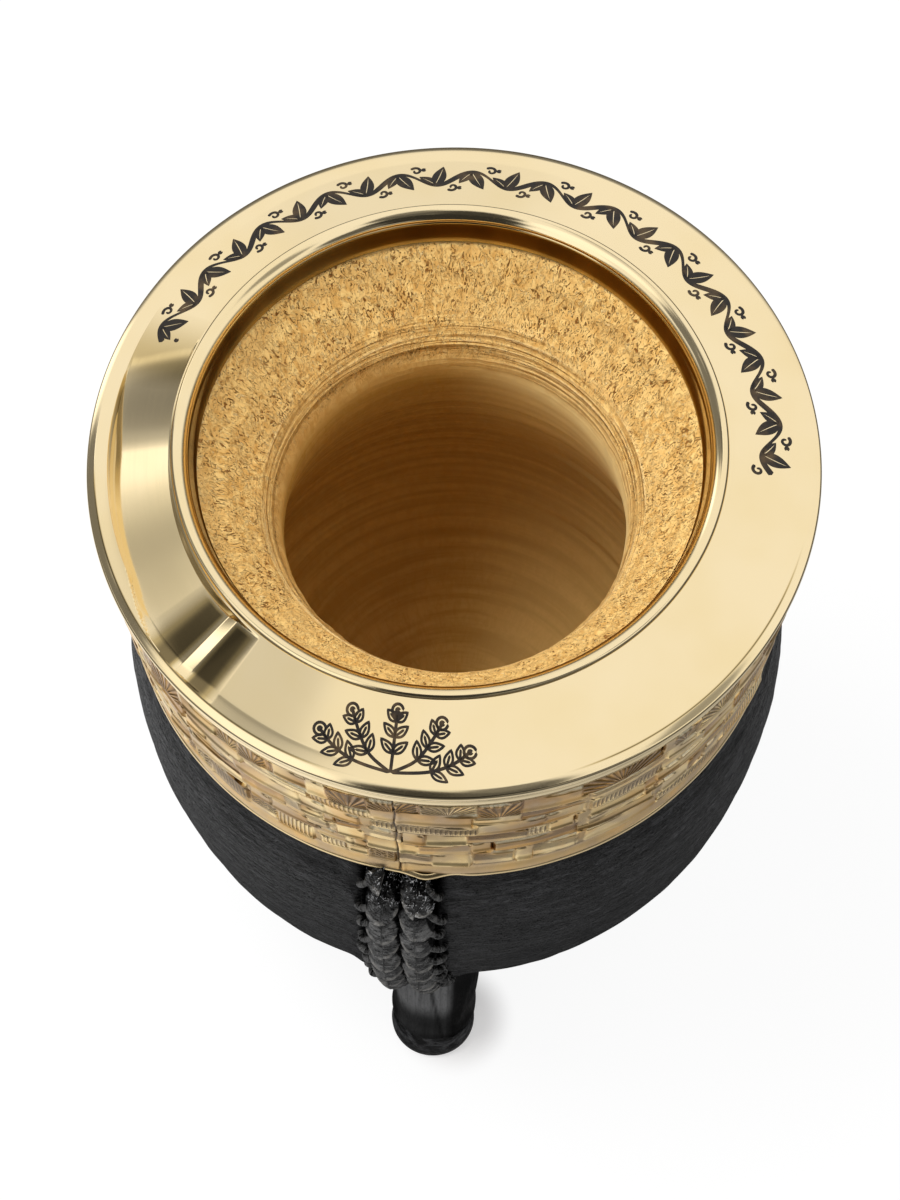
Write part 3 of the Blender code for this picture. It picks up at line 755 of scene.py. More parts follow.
def rim_level(degrees, radius):
    """Level of the rim's upper side: the plate with a slight hand-made wave, less the rest between its two walls."""
    depth = blend(*REST_DEPTH, across_rest(radius))
    outer = outer_wall(degrees)
    walls = ramp(radius, REST_SHOULDER, REST_FLOOR[0]) * fall(radius, outer, outer + 0.38)
    hand = 0.010 * np.sin(np.radians(3.0 * degrees + 40.0)) * window(radius, 36.0, 41.0, 41.0, 46.0)
    return plate_level(radius) + hand - rest_share(degrees, radius) * depth * walls


def lip_outline():
    """The lip as (radius, level): the way its surface leans turns from the margin's slope to LIP_LEAN within a short
    bend, holds it over a strip, and then turns past upright; the points are the sum of its steps."""
    overlap = 0.06
    length = np.array([0.0, 0.28, 1.16, 1.66, 2.10, 2.65])
    along = np.linspace(0.0, length[-1], 54)
    way = np.radians(np.interp(along, length, [9.0, *LIP_LEAN, 78.0, 104.0, 140.0]))[:-1]
    out = np.concatenate([[0.0], np.cumsum(np.cos(way) * along[1])])
    down = np.concatenate([[0.0], np.cumsum(np.sin(way) * along[1])])
    radius = SHOULDER - overlap + out * (LIP_RADIUS - SHOULDER + overlap) / out.max()
    return np.stack([radius, MARGIN_SLOPE * overlap - down], axis=1)[1:]


def plate_painted_reflection(turn, radius, upper):
    """Painted reflections on the plate: painted dull reflections as two strips on the rest's climb, as a patch by its
    entry and as a lead-in to it, a painted pale reflection in the corner along its outer wall, and a painted dark
    reflection line in the margin of the upper side."""
    climb = (turn - REST_CLIMB) / (REST_END - REST_CLIMB) + 0 * radius
    strips = window(climb, 0.04, 0.28, 0.42, 0.50) + window(climb, 0.65, 0.73, 0.84, 1.0)
    strips = strips * (radius < SHOULDER) * ramp(radius, 36.3, 37.0)
    # Painted dull reflection by the rest's entry
    darkening = window(radius, 44.0, 44.25, 44.46, 44.6) * window(turn, 166.0, 174.0, 182.0, 194.0)
    lead = window(turn, 153.0, 165.5, 166.0, 172.0) * (radius > REST_SHOULDER) * (radius < MARGIN_RADIUS)
    dull = np.maximum(np.maximum(1.75 * strips, 1.7 * darkening), 0.9 * lead)
    wall = outer_wall(turn)
    # Painted pale reflection in the corner along the outer wall
    corner = window(radius, 42.6, 43.6, wall + 0.3, wall + 0.5) * window(turn, 160.0, 168.0, 212.0, 220.0)
    shown = window(turn, 184.0, 194.0, 246.0, 258.0) + window(turn, 292.0, 302.0, 336.0, 350.0)
    # Painted dark reflection line in the margin
    dark_line = 2.0 * shown * hump(radius, DARK_LINE_RADIUS, 0.09) * upper
    return np.maximum(np.where(dull > 0.05, dull, -corner), dark_line)


def make_rim_plate(material):
    """The polished plate: its upper side is rim_level, then the lip, and the underside one sheet below. Columns lie
    closer over the rest, and one lies on the edge in which it ends."""
    fine = np.arange(158.0, 236.0, 0.2)
    coarse = np.arange(236.0, 518.0, 0.7)
    degrees = np.sort(np.concatenate([fine[np.abs(fine - REST_END) > 0.12], [REST_END], coarse]))
    turn = degrees % 360.0
    stretches = [
        (PLATE_INNER, REST_SHOULDER - 0.2, 5),
        (REST_SHOULDER - 0.05, REST_FLOOR[0] + 0.1, 11),
        (REST_FLOOR[0] + 0.6, REST_FLOOR[1] - 0.4, 12),
        (REST_FLOOR[1] - 0.1, MARGIN_RADIUS + 0.35, 13),
        (MARGIN_RADIUS + 0.5, SHOULDER - 0.15, 11),
        (SHOULDER - 0.08, SHOULDER, 1),
    ]
    face = np.concatenate([np.linspace(*stretch) for stretch in stretches])[:, None]
    lip = lip_outline()
    lip_radius, lip_level = lip[:, :1], lip[:, 1:]
    inner = np.linspace(SHOULDER - SHEET, PLATE_INNER, 12)[:, None]
    radius = np.concatenate([face, lip_radius, [[SHOULDER]], inner])
    lip_rows = np.concatenate([lip_level, lip_level[-1:] - 0.1]) + 0 * turn
    level = np.concatenate([rim_level(turn, face), lip_rows, rim_level(turn, inner) - SHEET])
    points = around(radius + 0 * turn, level, np.radians(degrees))
    along = np.concatenate([face, 2 * LIP_RADIUS - lip_radius, [[50.0]], 60.0 - inner * 0.2])
    upper = np.arange(len(radius))[:, None] < len(face) + 11
    fields = {"grain": grain_field(points, along), "browning_and_painted_reflection": plate_painted_reflection(turn, radius, upper)}
    add_surface("rim_plate_polished", points, RING, fields, material, "polished_brass", "rim_plate", sharp=24.0)


def turned_ring(name, profile, columns, material, node, wobble, seed, browning=0.0):
    """A closed profile carried round the axis, with a slight waver in its radius; browning sets how brown it is."""
    profile = np.asarray(profile, float)
    angles = every(columns)
    waver = wobble * noise_round(angles, 24, 0.5 + 0 * profile[:, :1], seed)
    points = around(profile[:, :1] + waver, profile[:, 1:], angles)
    fields = {
        "grain": grain_field(points, path_length(profile)[:, None]),
        "browning_and_painted_reflection": np.zeros(points.shape[:2]) + browning,
    }
    add_surface(name, points, RING, fields, material, "polished_brass", node)


def curve_of(centre, half_widths, start, end, count):
    """Points on an elliptic arc in a profile, in degrees."""
    angles = np.radians(np.linspace(start, end, count))
    return [(centre[0] + half_widths[0] * math.cos(a), centre[1] + half_widths[1] * math.sin(a)) for a in angles]


def make_collar(material):
    """The bead round the mouth, with a stepped wall that tapers down to the gourd. The bead's inner side leans more
    and more, and is the sum of its steps; the wall is browner and darker, most at the left, and streaked."""
    crown = BEAD_OUTER - BEAD_ROUND
    profile = curve_of((crown, 3.15), (BEAD_ROUND, 0.85), 0.0, 90.0, 9)
    length = np.linspace(0.0, 1.0, 24)
    lean = np.radians(np.interp(length, [0.0, 0.13, 0.86, 1.0], [0.0, 27.0, 62.0, 88.0]))
    inward = np.cumsum(np.cos(lean)) / np.cos(lean).sum() * (crown - MOUTH_RADIUS)
    drop = np.cumsum(np.sin(lean)) / np.sin(lean).sum() * 1.4
    profile += list(zip(crown - inward, 4.0 - drop))
    profile += [(33.71, 2.52), (33.62, 2.42), (33.54, 2.25), (33.42, 1.5), (33.26, 0.7), (33.06, -0.1)]
    profile += [(32.84, -0.68), (COLLAR_FOOT_RADIUS, COLLAR_FOOT)]
    wall = len(profile) - 7
    profile += [(COLLAR_FOOT_RADIUS + SHEET, COLLAR_FOOT), (34.7, 2.0), (BEAD_OUTER, 2.45), (BEAD_OUTER, 2.9)]
    angles = every(400)
    streaks = noise_round(angles, 70, 0.5 + 0 * angles[None], 14)
    browning = np.zeros((len(profile), len(angles)))
    browning[wall : wall + 8] = 1.32 - 0.55 * np.cos(angles) + 0.35 * streaks
    turned_ring("collar_polished", profile, len(angles), material, "collar", 0.02, 4, browning)


def make_moulding(material):
    """Two small steps under the lip: a half round, a groove and a flat ring that faces a little upwards."""
    profile = [(45.7, -2.0), (46.3, -2.02)]
    profile += curve_of((46.42, -2.55), (0.55, 0.52), 85.0, -75.0, 9)
    profile += [(46.42, -3.12), (46.40, -3.2), (46.62, -3.24), (46.78, -3.32), (46.92, -3.9), (46.90, -4.05)]
    profile += [(46.80, -4.14), (45.7, -4.14)]
    turned_ring("moulding_polished", profile, 480, material, "moulding_ring", 0.015, 5)


def lay_bricks():
    """Rectangles of the chasing as (start, end, top, bottom, tilts, lift, kind), in millimetres round and down."""
    rng = np.random.default_rng(31)
    girth = CIRCLE * BAND_MEAN
    edges = np.cumsum(rng.uniform(8.0, 15.0, 40))
    edges = np.concatenate([[0.0], edges[: np.searchsorted(edges, girth - 9.0)], [girth]])
    bricks = []
    for start, end in zip(edges[:-1], edges[1:]):
        rows = np.cumsum(np.concatenate([[rng.uniform(3.4, 5.6)], rng.uniform(2.6, 4.6, 9)]))
        rows = rows[rows < CHASED[1] - CHASED[0] - 2.4]
        rows = np.concatenate([[0.0], rows, [CHASED[1] - CHASED[0]]]) + CHASED[0]
        for k, (top, bottom) in enumerate(zip(rows[:-1], rows[1:])):
            cuts = [start, *np.sort(rng.uniform(start + 2.5, end - 2.5, rng.integers(0, 3))), end]
            shift = rng.uniform(-1.2, 1.2)
            kinds = STRIKES["top" if k == 0 else "bottom" if k == len(rows) - 2 else "middle"]
            for left, right in zip(cuts[:-1], cuts[1:]):
                kind = kinds[rng.integers(len(kinds))]
                tilt = rng.uniform(-0.05, 0.05, 2) * (1.0, 1.7)
                bricks.append((left + shift, right + shift, top, bottom, tilt, rng.uniform(-0.09, 0.09), kind))
    return bricks, girth


def chase(around_mm, depth):
    """Relief and pattern fields of the band: each rectangle is lifted and tilted, proud along its lower edge, cut in
    along its borders, and bevelled for part of its top; fans, ticks and crosses are waves of a phase that is a
    straight or a polar coordinate."""
    bricks, girth = lay_bricks()
    shape_of = np.broadcast(around_mm, depth).shape
    fields = {name: np.zeros(shape_of) for name in ("relief", "tone", "groove", "gleam", "phase", "cut")}
    rng = np.random.default_rng(8)
    for left, right, top, bottom, tilt, lift, kind in bricks:
        across = (around_mm - (left + right) / 2 + girth / 2) % girth - girth / 2
        down = depth - (top + bottom) / 2
        half = (right - left) / 2
        tall = (bottom - top) / 2
        edge = np.minimum(half - np.abs(across), tall - np.abs(down))
        way = rng.choice([-1.0, 1.0])
        strength = rng.uniform(0.6, 1.15) * (rng.random() < 0.80)
        reach = rng.uniform(-0.6, 0.3)
        stroke = ramp(way * across / half, reach, reach + 0.5) * fall(half - way * across, 0.5, 0.1)
        bevel = fall(down + tall, 0.55, 1.25) * stroke * strength
        corner = np.hypot(across - way * (half - 0.35), down + tall - 0.35)
        dot = fall(corner, 0.12, 0.42) * rng.uniform(0.4, 1.0)
        border = fall(edge, 0.04, 0.28) * ramp(noise(across / 1.9 + 60, down / 1.9 + 60, 9), -0.2, 0.5)
        relief = 1.6 * lift + tilt[0] * across + (tilt[1] + 0.035) * down
        relief = relief + 0.10 * ramp(down / tall, 0.3, 0.9) - 0.30 * bevel - 0.18 * border - 0.22 * dot
        # Painted reflection shading: each face grows lighter or darker across and down, on top of its random tone
        sway = rng.uniform(-0.7, 0.7, 2)
        tone = rng.uniform(-0.9, 0.9) + sway[0] * across / half + sway[1] * down / tall
        groove = np.maximum(border * rng.uniform(0.2, 0.8), dot)
        # Painted shade: a dark line along part of the lower edge
        under = fall(tall - down, 0.0, 0.22) * ramp(across * way / half, -0.9, 0.2) * rng.uniform(0.0, 0.7)
        groove = np.maximum(groove * (1 - 0.85 * np.clip(bevel, 0, 1)), under)
        soft = ramp(edge, 0.12, 0.4)
        phase, cut = np.zeros_like(relief), np.zeros_like(relief)
        if kind == "fan":
            phase = np.arctan2(across, 1.1 * tall - down + 0.4) * 30.0
            cut = soft
            tone = tone - 0.5
        elif kind == "ticks":
            phase = across * 10.0
            cut = soft * (np.abs(down) < tall * 0.6)
        elif kind == "cross":
            phase = (across + np.sign(np.sin(across * 4.0)) * down) * 7.5
            cut = soft * (np.abs(down) < tall * 0.5)
        # Painted highlight on the bevelled top edge
        gleam = np.clip(bevel * 1.3, 0, 1)
        for name, values in zip(fields, (relief, tone, groove, gleam, phase, cut)):
            fields[name] = np.where(edge >= 0, values, fields[name])
    return fields


def make_band(material):
    """The chased band: a tapered wall with its relief, a plain strip above it and a hollow below it, closed inside.
    Its ends meet in a wavy soldered joint."""
    angles = np.radians(SEAM_ANGLE + np.concatenate([np.linspace(-1.4, 1.4, 29), np.linspace(1.7, 358.3, 860)]))
    depth = np.concatenate([
        [BAND_TOP, BAND_TOP + 0.05, BAND_TOP + 0.3, CHASED[0] - 0.25, CHASED[0] - 0.12],
        np.linspace(*CHASED, 92),
        CHASED[1] + np.array([0.12, 0.3, 0.6, 1.0, 1.5, 2.0, 2.5, 2.9]),
        [BAND_DEPTH - 0.2, BAND_DEPTH],
    ])[:, None]
    bare = blend(BAND_TOP_RADIUS, BAND_END_RADIUS, (depth - BAND_TOP) / (BAND_DEPTH - BAND_TOP))
    struck = chase(((angles % CIRCLE) * BAND_MEAN)[None], depth)
    chased = (depth > CHASED[0]) * (depth < CHASED[1])
    relief = chased * struck["relief"]
    hollow = -0.42 * np.sin(math.pi * np.clip((depth - CHASED[1]) / 3.2, 0, 1)) ** 0.8
    line = -0.14 * hump(depth, CHASED[0] - 0.12, 0.1)
    turn = np.degrees(angles)[None]
    seam_mm = (turn - SEAM_ANGLE - 0.12 * np.sin(depth * 0.8)) * math.radians(BAND_MEAN)
    seam_mm = (seam_mm + 20.0) % (CIRCLE * BAND_MEAN) - 20.0
    solder = hump(seam_mm, 0.0, 0.15)
    dent = 0.10 * noise_round(angles, 60, depth / 5.0, 12)
    radius = bare + relief + hollow + line + dent * ramp(depth, 5.0, 7.0) - 0.22 * solder
    radius = radius + 0.14 * hump(seam_mm, 0.45, 0.4)
    radius[0] = BAND_TOP_RADIUS - 0.1
    inner = np.array([[BAND_DEPTH], [BAND_TOP]])
    inner_radius = np.array([[BAND_END_RADIUS - BAND_WALL], [BAND_TOP_RADIUS - BAND_WALL]]) + 0 * turn
    points = around(np.concatenate([radius, inner_radius]), -np.concatenate([depth, inner]), angles)
    outside = {
        "height": relief,
        "tone": np.where(chased, struck["tone"], np.where(depth > CHASED[1], -0.15, 0.9)),
        "groove": np.maximum(np.where(chased, struck["groove"], 0), solder),
        "gleam": np.where(chased, struck["gleam"], 0),
        "cut_phase": struck["phase"],
        "cut_depth": np.where(chased, struck["cut"], 0),
    }
    fields = {"grain": grain_field(points, np.concatenate([depth, inner]))}
    fields |= {name: np.concatenate([values, 0 * inner_radius]) for name, values in outside.items()}
    add_surface("band_chased", points, RING, fields, material, "chased_brass", "chased_band", sharp=60.0)


def make_hem(material):
    """The rolled edge: an oval section carried round the band's foot, wavering, and pushed out over the lacing."""
    angles = every(720)
    sides = every(12)[:, None]
    turn = np.degrees(angles)[None]
    waver = noise(turn / 6.0, 0.5 + 0 * turn, 21, 60)
    push = hump(turn - SEAM_ANGLE, 4.2, 2.6)
    dip = hump(turn - SEAM_ANGLE, 9.5, 2.0)
    radius = HEM_RADIUS + 0.06 * waver + 0.62 * push - 0.1 * dip + 0.52 * np.cos(sides)
    level = HEM_LEVEL + 0.10 * waver - 0.25 * push + 0.3 * dip + 0.72 * np.sin(sides)
    points = around(radius, level, angles)
    fields = {"grain": grain_field(points, sides), "browning_and_painted_reflection": np.zeros(points.shape[:2])}
    add_surface("hem_rolled", points, RING, fields, material, "polished_brass", "band_hem")


def body_radius(depth):
    """Outer radius of the leather: a neck, a quarter ellipse to the bulge, and a power curve below it."""
    fullness = 1.0 - (NECK_RADIUS / BODY_RADIUS) ** 2
    share = np.clip((BULGE_DEPTH - depth) / (BULGE_DEPTH - NECK_DEPTH), 0.0, 1.0)
    upper = BODY_RADIUS * np.sqrt(1.0 - fullness * share * share)
    share = np.clip((depth - BULGE_DEPTH) / (BODY_DEPTH - BULGE_DEPTH), 0.0, 1.0)
    return np.where(depth < BULGE_DEPTH, upper, BODY_RADIUS - BASE_DRAW * share**BASE_POWER)


def body_outline(first, count):
    """The leather's outline as (radius, level): the side down to the base's round, the round, and in to the axis."""
    trial = np.linspace(BULGE_DEPTH, BODY_DEPTH, 4000)
    lean = np.arctan(-np.gradient(body_radius(trial), trial))
    start = trial[np.argmax(trial + KNUCKLE * (1.0 - np.sin(lean)) >= BODY_DEPTH)]
    lean_here = np.interp(start, trial, lean)
    depth = np.linspace(first, start, 400)
    side = np.stack([body_radius(depth), -depth], axis=1)
    centre = np.array([body_radius(start) - KNUCKLE * math.cos(lean_here), KNUCKLE - BODY_DEPTH])
    bow = np.linspace(-lean_here, -math.pi / 2, 80)
    knee = centre + KNUCKLE * np.stack([np.cos(bow), np.sin(bow)], axis=1)
    base = np.stack([np.linspace(knee[-1, 0], 0.0, 40), np.full(40, -BODY_DEPTH)], axis=1)
    return resample(np.vstack([side, knee[1:], base[1:]]), count)


def outward(profile):
    """Unit normals of a profile, to the left of its direction turned outwards."""
    run = unit(np.gradient(profile, axis=0))
    return np.stack([-run[:, 1], run[:, 0]], axis=1)


def make_cover(material):
    """The hide: the body's outline carried round the axis, with wrinkles that run round it, a trough at the seam, and
    a puckered ridge on each side of the trough."""
    seam = math.radians(SEAM_ANGLE)
    near = np.linspace(-0.20, 0.20, 76)
    far = np.linspace(0.20, CIRCLE - 0.20, 424)[1:-1]
    angles = seam + np.concatenate([near, far])
    outline = body_outline(COVER_TOP, 168)
    depth = -outline[:, 1:]
    normals = outward(outline)
    along = path_length(outline)[:, None]
    across = ((angles - seam + math.pi) % CIRCLE - math.pi)[None] * outline[:, :1]
    wave = noise_round(angles, 60, along / 1.35, 3) + 0.6 * noise_round(angles, 120, along / 0.8, 5)
    slow = noise_round(angles, 14, along / 7.0, 6)
    shown = ramp(depth, NECK_DEPTH - 0.5, NECK_DEPTH + 2.5) * ramp(outline[:, :1], 4.0, 20.0)
    laced = window(depth, NECK_DEPTH - 3.0, NECK_DEPTH, ROLL_END - 0.5, ROLL_END + 1.5)
    trough = fall(np.abs(across), 4.1, 5.3) * laced
    ridge = hump(np.abs(across), 6.6, 1.3) * laced
    pucker = np.sin(along * CIRCLE / 6.3 + np.sign(across) * 0.6)
    push = shown * (0.10 * wave + 0.20 * slow)
    push = push * (1 - trough) - 1.5 * trough + ridge * (0.22 + 0.30 * pucker)
    outer = outline[:, None, :] + normals[:, None, :] * push[..., None]
    outer[-1] = outline[-1]
    inner = (outline - normals * LEATHER)[::-12]
    inner[0] = (0.0, -BODY_DEPTH + LEATHER)
    inner[:, 0] = np.maximum(inner[:, 0], 0.0)
    wide = 0 * across[:1]
    rows, levels = (np.concatenate([outer[..., k], inner[:, k : k + 1] + wide]) for k in (0, 1))
    points = around(rows, levels, angles)
    # Painted shade: the hide is black and unreflecting in the hollow beside the seam
    hollow = fall(np.abs(across), 5.0, 6.6) * laced
    fields = {
        "grain": grain_field(points, np.concatenate([along, 150 + 0 * inner[:, :1]])),
        "hollow": np.concatenate([hollow, np.zeros((len(inner), len(angles)))]),
    }
    nodes = ("leather_cover", "seam_underlap")
    add_surface("cover_hide", points, RING, fields, material, "black_leather", *nodes, sharp=60.0)


def seam_frame(depths, lift):
    """Centre line over the seam: places, and vectors outwards, downwards and across, at each depth."""
    radius = body_radius(depths)
    normals = outward(np.stack([radius, -depths], axis=1))
    seam = math.radians(SEAM_ANGLE)
    ray = np.array([math.cos(seam), math.sin(seam), 0.0])
    up = np.array([0.0, 0.0, 1.0])
    level = LIP_LEVEL - depths + normals[:, 1] * lift
    places = (radius + normals[:, 0] * lift)[:, None] * ray + level[:, None] * up
    out = normals[:, :1] * ray + normals[:, 1:] * up
    across = np.array([-math.sin(seam), math.cos(seam), 0.0])
    return places, out, np.gradient(places, axis=0), across


def make_roll(word, side, strap):
    """One laced edge. A flat strap winds round a welt: its middle line is a coil that sags in front, its upper edge is
    tucked under the turn above and its lower edge stands out, so the turns lie like scales."""
    places, out, down, across = seam_frame(np.linspace(ROLL_START, ROLL_END, 700), WELT_LIFT)
    length = path_length(places)
    total = length[-1]
    turns = ROLL_WRAPS + 1.2
    turn = np.linspace(0.0, turns * CIRCLE, int(turns * 64)) + (0.0 if side < 0 else 2.6)
    section = every(18)[:, None]
    width = np.sign(np.cos(section)) * np.abs(np.cos(section)) ** 0.55
    height = np.sign(np.sin(section)) * np.abs(np.sin(section)) ** 0.75
    index = (turn / CIRCLE).astype(int)
    vary = np.random.default_rng(50 + (side > 0)).uniform(-1, 1, 14)[index % 14]
    sag = (2.5 + 0.6 * vary) * np.cos(turn) + 0.6 * side * np.sin(turn)
    middle = total / ROLL_WRAPS * ((turn - turn[0]) / CIRCLE - 0.55) + sag
    s = middle + STRAP_WIDTH / 2 * (0.92 + 0.06 * vary) * width
    ends = window(s, -3.0, 1.0, total - 3.5, total + 1.6)
    shape = 0.40 + 0.60 * ends
    lean = 1.35 * ((width + 1) / 2) ** 1.8
    ridge = 0.09 * noise(s * 1.3 + 40, turn / 1.6, 60 + (side > 0)) + 0.05 * noise(s * 2.7, turn / 0.8, 70)
    crumple = 0.20 * noise(s * 0.9, turn * 1.7, 80) * fall(s, 3.0, 9.0)
    rise = lean + STRAP_THICKNESS / 2 * (1 + height) * (1 + 0.3 * np.abs(width)) + (ridge + crumple) * (height > 0)
    wide = (0.72 + rise) * shape
    tall = (0.92 + rise) * shape
    s = np.clip(s, -1.5, total + 1.2)
    spot, normal, slope = (
        np.stack([np.interp(s, length, line[:, k]) for k in range(3)], axis=-1) for line in (places, out, down)
    )
    run = np.clip(s, None, 0.0) + np.clip(s - total, 0.0, None)
    offset = side * (ROLL_OFFSET - 0.25 * (1 - ends))
    points = spot + unit(slope) * run[..., None] + across * offset[..., None]
    points = points + normal * (tall * np.cos(turn))[..., None] + across * (side * wide * np.sin(turn))[..., None]
    points[:, 0], points[:, -1] = points[:, 0].mean(axis=0), points[:, -1].mean(axis=0)
    # Painted sheen on each turn's lower edge; painted shade where it is tucked under, and on the sides and back of the
    # roll
    tucked = ramp(-width + 0 * s, -0.15, 0.45)
    painted_sheen_and_shade = (ramp(width + 0 * s, 0.62, 0.95) - tucked) * (height > -0.5) - 3.2 * fall(np.cos(turn), 0.10, 0.55)
    fields = {"grain": polar(45, turn, s + 3.1 * index), "wet": 1 - ramp(s, 4.0, 14.0) * 0.75, "painted_sheen_and_shade": painted_sheen_and_shade}
    name = f"lace_{word}_strap"
    add_surface(name, points, TUBE, fields, strap, "black_thong", f"seam_lace_{word}", sharp=50.0)


def make_welt(word, side, material):
    """The turned-out edge inside a roll: a round section that closes to a point at both ends."""
    count = 60
    places, out, _, across = seam_frame(np.linspace(ROLL_START + 1.0, ROLL_END - 1.5, count), WELT_LIFT)
    sides = every(14)[:, None, None]
    end = np.sqrt(np.clip(1 - np.abs(np.linspace(-1, 1, count)) ** 12, 0, 1))[None, :, None]
    rings = places[None] + across * side * ROLL_OFFSET
    points = rings + WELT_RADIUS * end * (np.cos(sides) * out[None] + np.sin(sides) * across)
    fields = {"grain": polar(10, sides[..., 0], path_length(places)[None])}
    add_surface(f"welt_{word}_hide", points, TUBE, fields, material, "black_leather", f"seam_welt_{word}")


def tube_points(path, radius, sides=10):
    """A round section carried along a path and closed at both ends; radius may change along it."""
    run = unit(np.gradient(path, axis=0))
    side = unit(np.cross(run, (0.31, 0.17, 0.93)))
    other = np.cross(run, side)
    radius[0] = radius[-1] = 0.0
    angle = every(sides)[:, None, None]
    return path[None] + radius[None, :, None] * (np.cos(angle) * side[None] + np.sin(angle) * other[None])


def make_stitches(word, side, material):
    """Short loops of the strap between a roll and its holes in the hide: arcs that leave the roll and dive in."""
    rng = np.random.default_rng(90 + (side > 0))
    meshes = []
    for k, depth in enumerate(np.linspace(NECK_DEPTH + 1.6, ROLL_END - 4.0, 10)):
        places, out, down, across = seam_frame(np.array([depth, depth + 0.5, depth + 1.0]), 0.0)
        reach = rng.uniform(5.2, 6.1)
        drop = rng.uniform(1.2, 2.6)
        arch = rng.uniform(0.75, 1.25)
        line = smooth_line([
            (3.0, 0.7, -0.6), (3.9, 1.3 * arch, 0.1), (4.9, 1.35 * arch, 0.5 * drop),
            (reach, 0.75, 0.9 * drop), (reach + 0.1, -0.8, drop + 0.5),
        ], 18)
        path = places[1] + line[:, :1] * across * side + line[:, 1:2] * out[1] + line[:, 2:] * unit(down[1])
        points = tube_points(path, 0.40 + 0.12 * np.sin(np.linspace(0.3, 2.8, 18)) * rng.uniform(0.6, 1.2))
        along = path_length(path)[None] + np.zeros((10, 1))
        grain = np.stack([along * 0, points[..., 0], along + 5 * k], axis=-1)
        # A faint painted sheen on the loops
        fields = {"grain": grain, "wet": 0.6 + 0 * along, "painted_sheen_and_shade": 0.12 + 0 * along}
        meshes.append(make_mesh(f"stitch_{word}_{k}", points, TUBE, fields))
    add_piece(f"stitches_{word}", join_meshes(f"stitches_{word}", meshes), material, "black_thong")


def gourd_profile():
    """The calabash's section from the axis under the base, up outside, over the mouth and down inside to its floor."""
    outline = body_outline(COVER_TOP, 40)
    shell = (outline - outward(outline) * (LEATHER + 0.3))[::-1]
    shell[:, 0] = np.maximum(shell[:, 0], 0.0)
    shell[0, 0] = 0.0
    crown = [(40.4, -20.0), (40.4, -3.6), (37.75, -3.6), (35.35, -1.2), (33.2, -1.12)]
    funnel = [(32.95, -1.16), (32.55, -1.6), (31.0, -3.85), (28.9, -6.85), (27.0, -9.4), (25.4, -11.8)]
    funnel += [(24.2, -14.1), (23.4, -16.6)]
    bowl = [(23.05, -19.3), (23.3, -23.2), (24.6, -29.0), (26.7, -36.5), (29.0, -45.0), (30.6, -53.0)]
    bowl += [(31.0, -61.0), (29.6, -70.0), (25.6, -78.8), (17.8, -86.0), (8.5, -89.4), (0.0, -90.3)]
    inside = smooth_line(funnel + bowl, 400)
    inside[-1, 0] = 0.0
    return np.vstack([shell, crown]), resample(inside, 132)


def make_gourd(material):
    """The calabash: its section carried round the axis, with rings left by the tool at the throat, a rough funnel and
    a faintly ringed bowl. The throat is a little oval."""
    fixed, inside = gourd_profile()
    angles = every(540)
    flat = 0 * angles[None]
    along = path_length(inside)[:, None]
    throat = along[np.argmin(inside[:40, 0] + (inside[:40, 1] < -18) * 99)]
    rough = noise_round(angles, 90, along / 1.7, 33) + 0.7 * noise_round(angles, 180, along / 0.8, 34)
    wander = along + 0.5 * noise_round(angles, 9, along / 9.0, 35)
    tool = noise(flat, wander / 0.62, 36) + 0.7 * noise(flat, wander / 0.37, 37)
    arc = noise_round(angles, 7, along / 2.4, 38)
    near = hump(along - throat, -4.4, 3.6) * ramp(arc, -0.8, 0.2)
    bowl = ramp(along, throat, throat + 3.0)
    push = 0.10 * rough * ramp(along, 0.6, 2.4) * (1 - bowl) * (1 - 0.7 * near)
    push = push + 0.20 * tool * near + 0.07 * tool * bowl * ramp(inside[:, :1], 4.0, 12.0)
    push = push + 0.10 * np.cos(2 * angles[None] + 0.7) * near
    inner = inside[:, None, :] - outward(inside)[:, None, :] * push[..., None]
    inner[-1] = inside[-1]
    rows, levels = (np.concatenate([fixed[:, k : k + 1] + flat, inner[..., k]]) for k in (0, 1))
    points = around(rows, levels, angles)
    zero = np.zeros((len(fixed), len(angles)))
    fields = {
        "grain": grain_field(points, np.concatenate([200 + 0 * fixed[:, :1], along]), 28.0),
        "inside": np.concatenate([zero, ramp(along, throat - 6.5, throat + 12.0) + flat]),
        "rings": np.concatenate([zero, near * ramp(along, 2.0, 6.0)]),
    }
    add_surface("calabash_turned", points, DISC, fields, material, "calabash", "gourd_shell", sharp=70.0)


def make_patch(material):
    """The round patch under the base: a flat disc with softened edges."""
    outline = [(0, 0), (12, 0), (19.6, 0), (20, -0.3), (20, -0.8), (19.6, -1.15), (12, -1.2), (0, -1.2)]
    profile = np.array(outline) + (0.0, -BODY_DEPTH - 0.3)
    points = around(profile[:, :1], profile[:, 1:], every(120))
    fields = {"grain": grain_field(points, path_length(profile)[:, None], 20.0)}
    add_surface("patch_hide", points, DISC, fields, material, "black_leather", "base_patch")


